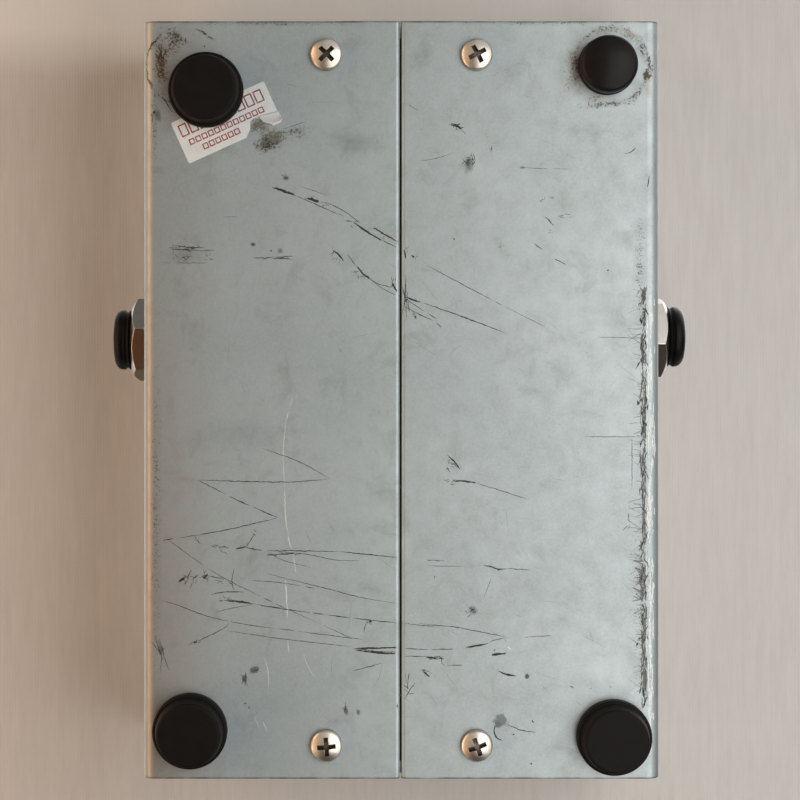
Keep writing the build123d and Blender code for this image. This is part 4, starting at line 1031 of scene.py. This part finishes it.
def cloth_weave():
    """Pale woven cloth, with painted light beyond the box's rear end."""
    weave = Finish("cloth", Roughness=0.95, Sheen_Weight=0.2)

    def bands(axis, scale):
        inputs = {"Vector": weave.mm, "Scale": scale, "Distortion": 0.5}
        return weave.node("TexWave", inputs, bands_direction=axis).outputs["Fac"]

    threads = weave.math("MULTIPLY_ADD", bands("Y", 0.4), 0.2, bands("X", 0.53))
    slubs = weave.noise(1.6, 4, 0.7, stretch=(1.0, 0.12, 1.0))
    tone = weave.tinged(srgb(0xD4CEC9), srgb(0xDDD8D3), slubs, 0.3, 0.75)
    tone = weave.mix(weave.times(threads, 0.06), tone, srgb(0xAAA096))
    # Painted light: the cloth is painted paler beyond the box's rear end, where the box's shadow falls but
    # the cloth should look lit.
    painted_light = weave.times(weave.span(weave.axis("Y"), 66.0, 76.0), weave.span(weave.axis("X"), -50.0, -30.0))
    tone = weave.mix(weave.times(painted_light, 0.85), tone, srgb(0xF6F3EF))
    weave.look(tone, weave.bump(threads, 0.02, weave.bump(weave.noise(38, 2), 1.2)))
    one_sided(weave, 150, 260)
    return weave


def make_cloth():
    """The cloth behind the box, seen from below. It has a hole where the box is."""
    hole = (sleeve_high.x + CLOTH_MARGIN, sleeve_high.y + CLOTH_MARGIN)
    level = cad_low.z + CLOTH_LEVEL
    points = [(a * x, b * y, level) for x, y in (hole, (CLOTH_HALF, CLOTH_HALF)) for a, b in CORNERS]
    faces = [(i, (i + 1) % 4, (i + 1) % 4 + 4, i + 4) for i in range(4)]
    camera_only(add_mesh("cloth_backdrop", points, faces, cloth_weave()))


# The room that gloss mirrors: its colours straight below and above, and its patches, each with its
# direction, cosine where it starts and where it is full, and scene-linear colour.
ROOM_BELOW = (0.3, 0.28, 0.26, 1.0)
ROOM_ABOVE = (0.85, 0.86, 0.88, 1.0)
ROOM_PATCHES = (
    ((1.0, 0.0, -0.25), 0.3, 0.95, (0.78, 0.52, 0.32, 1.0)),
    ((-1.0, 0.0, 0.1), 0.6, 0.95, (0.16, 0.155, 0.15, 1.0)),
    ((-0.45, 0.5, -0.7), 0.6, 0.95, (0.75, 0.74, 0.72, 1.0)),
    ((0.0, 0.0, -1.0), 0.88, 0.99, (0.11, 0.125, 0.13, 1.0)),
    ((-0.1, -0.95, -0.4), 0.7, 0.95, (0.06, 0.045, 0.035, 1.0)),
    ((0.15, -0.5, -0.84), 0.9, 0.97, (0.11, 0.048, 0.022, 1.0)),
    ((0.1, -0.55, 0.83), 0.8, 0.97, (0.13, 0.1, 0.07, 1.0)),
    ((0.3, 0.95, 0.05), 0.85, 0.97, (0.16, 0.15, 0.14, 1.0)),
)


def mirrored_room(room):
    """Colour of the room that gloss mirrors: paler above than below, with its patches."""
    direction = room.node("TexCoord", {}).outputs["Generated"]
    height = room.node("SeparateXYZ", {0: direction}).outputs["Z"]
    colour = room.mix(room.span(height, -1.0, 1.0), ROOM_BELOW, ROOM_ABOVE)
    for toward, start, full, tint in ROOM_PATCHES:
        facing = room.vector("DOT_PRODUCT", direction, Vector(toward).normalized())
        colour = room.mix(room.span(facing, start, full), colour, tint)
    return colour


def make_world():
    """Even room light. Camera rays see the backdrop's colour, and gloss sees the mirrored room."""
    bpy.context.scene.world = bpy.data.worlds.new("room")
    room = Nodes(bpy.context.scene.world)
    ambient = room.tree.nodes["Background"]
    room.feed(ambient, {"Color": (0.8, 0.95, 1.0, 1.0), "Strength": 0.07})
    mirrored = room.node("Background", {"Color": mirrored_room(room)}).outputs[0]
    seen = room.node("Background", {"Color": BACKDROP}).outputs[0]
    ray = room.node("LightPath", {}).outputs
    shown = room.node("MixShader", {0: ray["Is Glossy Ray"], 1: ambient.outputs[0], 2: mirrored}).outputs[0]
    shown = room.node("MixShader", {0: ray["Is Camera Ray"], 1: shown, 2: seen}).outputs[0]
    room.feed(room.tree.nodes["World Output"], {"Surface": shown})


def lamp(name, place, size, power, colour=(1.0, 1.0, 1.0), mirrored=True):
    """Soft area lamp that shines at the middle of the box."""
    data = bpy.data.lights.new(name, "AREA")
    data.shape = "RECTANGLE"
    data.size, data.size_y = size
    data.energy = power
    data.color = colour
    light = bpy.data.objects.new(name, data)
    light.location = place
    toward = (cad_low + cad_high) / 2 - Vector(place)
    light.rotation_euler = toward.to_track_quat("-Z", "Y").to_euler()
    light.visible_camera = False
    light.visible_glossy = mirrored
    bpy.context.scene.collection.objects.link(light)


def make_lights():
    lamp("window_below", (-0.128, -0.017, -0.17), (0.386, 0.2), 0.59, (1.0, 0.975, 0.945))
    lamp("warm_wall", (0.3, 0.0, -0.075), (0.5, 0.12), 0.66, (1.0, 0.64, 0.4))
    lamp("softbox_above", (0.85, -0.3, 0.8), (0.8, 0.8), 14.0, mirrored=False)
    lamp("softbox_rear", (-0.75, 0.6, 0.75), (1.4, 1.4), 9.0)


def make_camera():
    """Straight below the box. The lens shift keeps the box square and centres it."""
    subject = Vector((0.3, 0.0, CASE_BOTTOM))
    eye = Vector((9.3, 14.1, CASE_BOTTOM - 340.0))
    view_width = 150.0
    data = bpy.data.cameras.new("camera")
    data.sensor_width = 36.0
    data.lens = data.sensor_width * (subject.z - eye.z) / view_width
    data.shift_x = (eye.x - subject.x) / view_width
    data.shift_y = (subject.y - eye.y) / view_width
    data.clip_start = 0.01
    camera = bpy.data.objects.new("camera", data)
    camera.location = eye * MM
    camera.rotation_euler = (0, math.pi, 0)
    bpy.context.scene.collection.objects.link(camera)
    bpy.context.scene.camera = camera


# ------ making
bpy.context.scene.view_settings.view_transform = "Standard"
make_camera()
finish_metals()
finish_others()
make_marks()
make_label_flap()
make_floor()
make_cloth()
make_world()
make_lights()
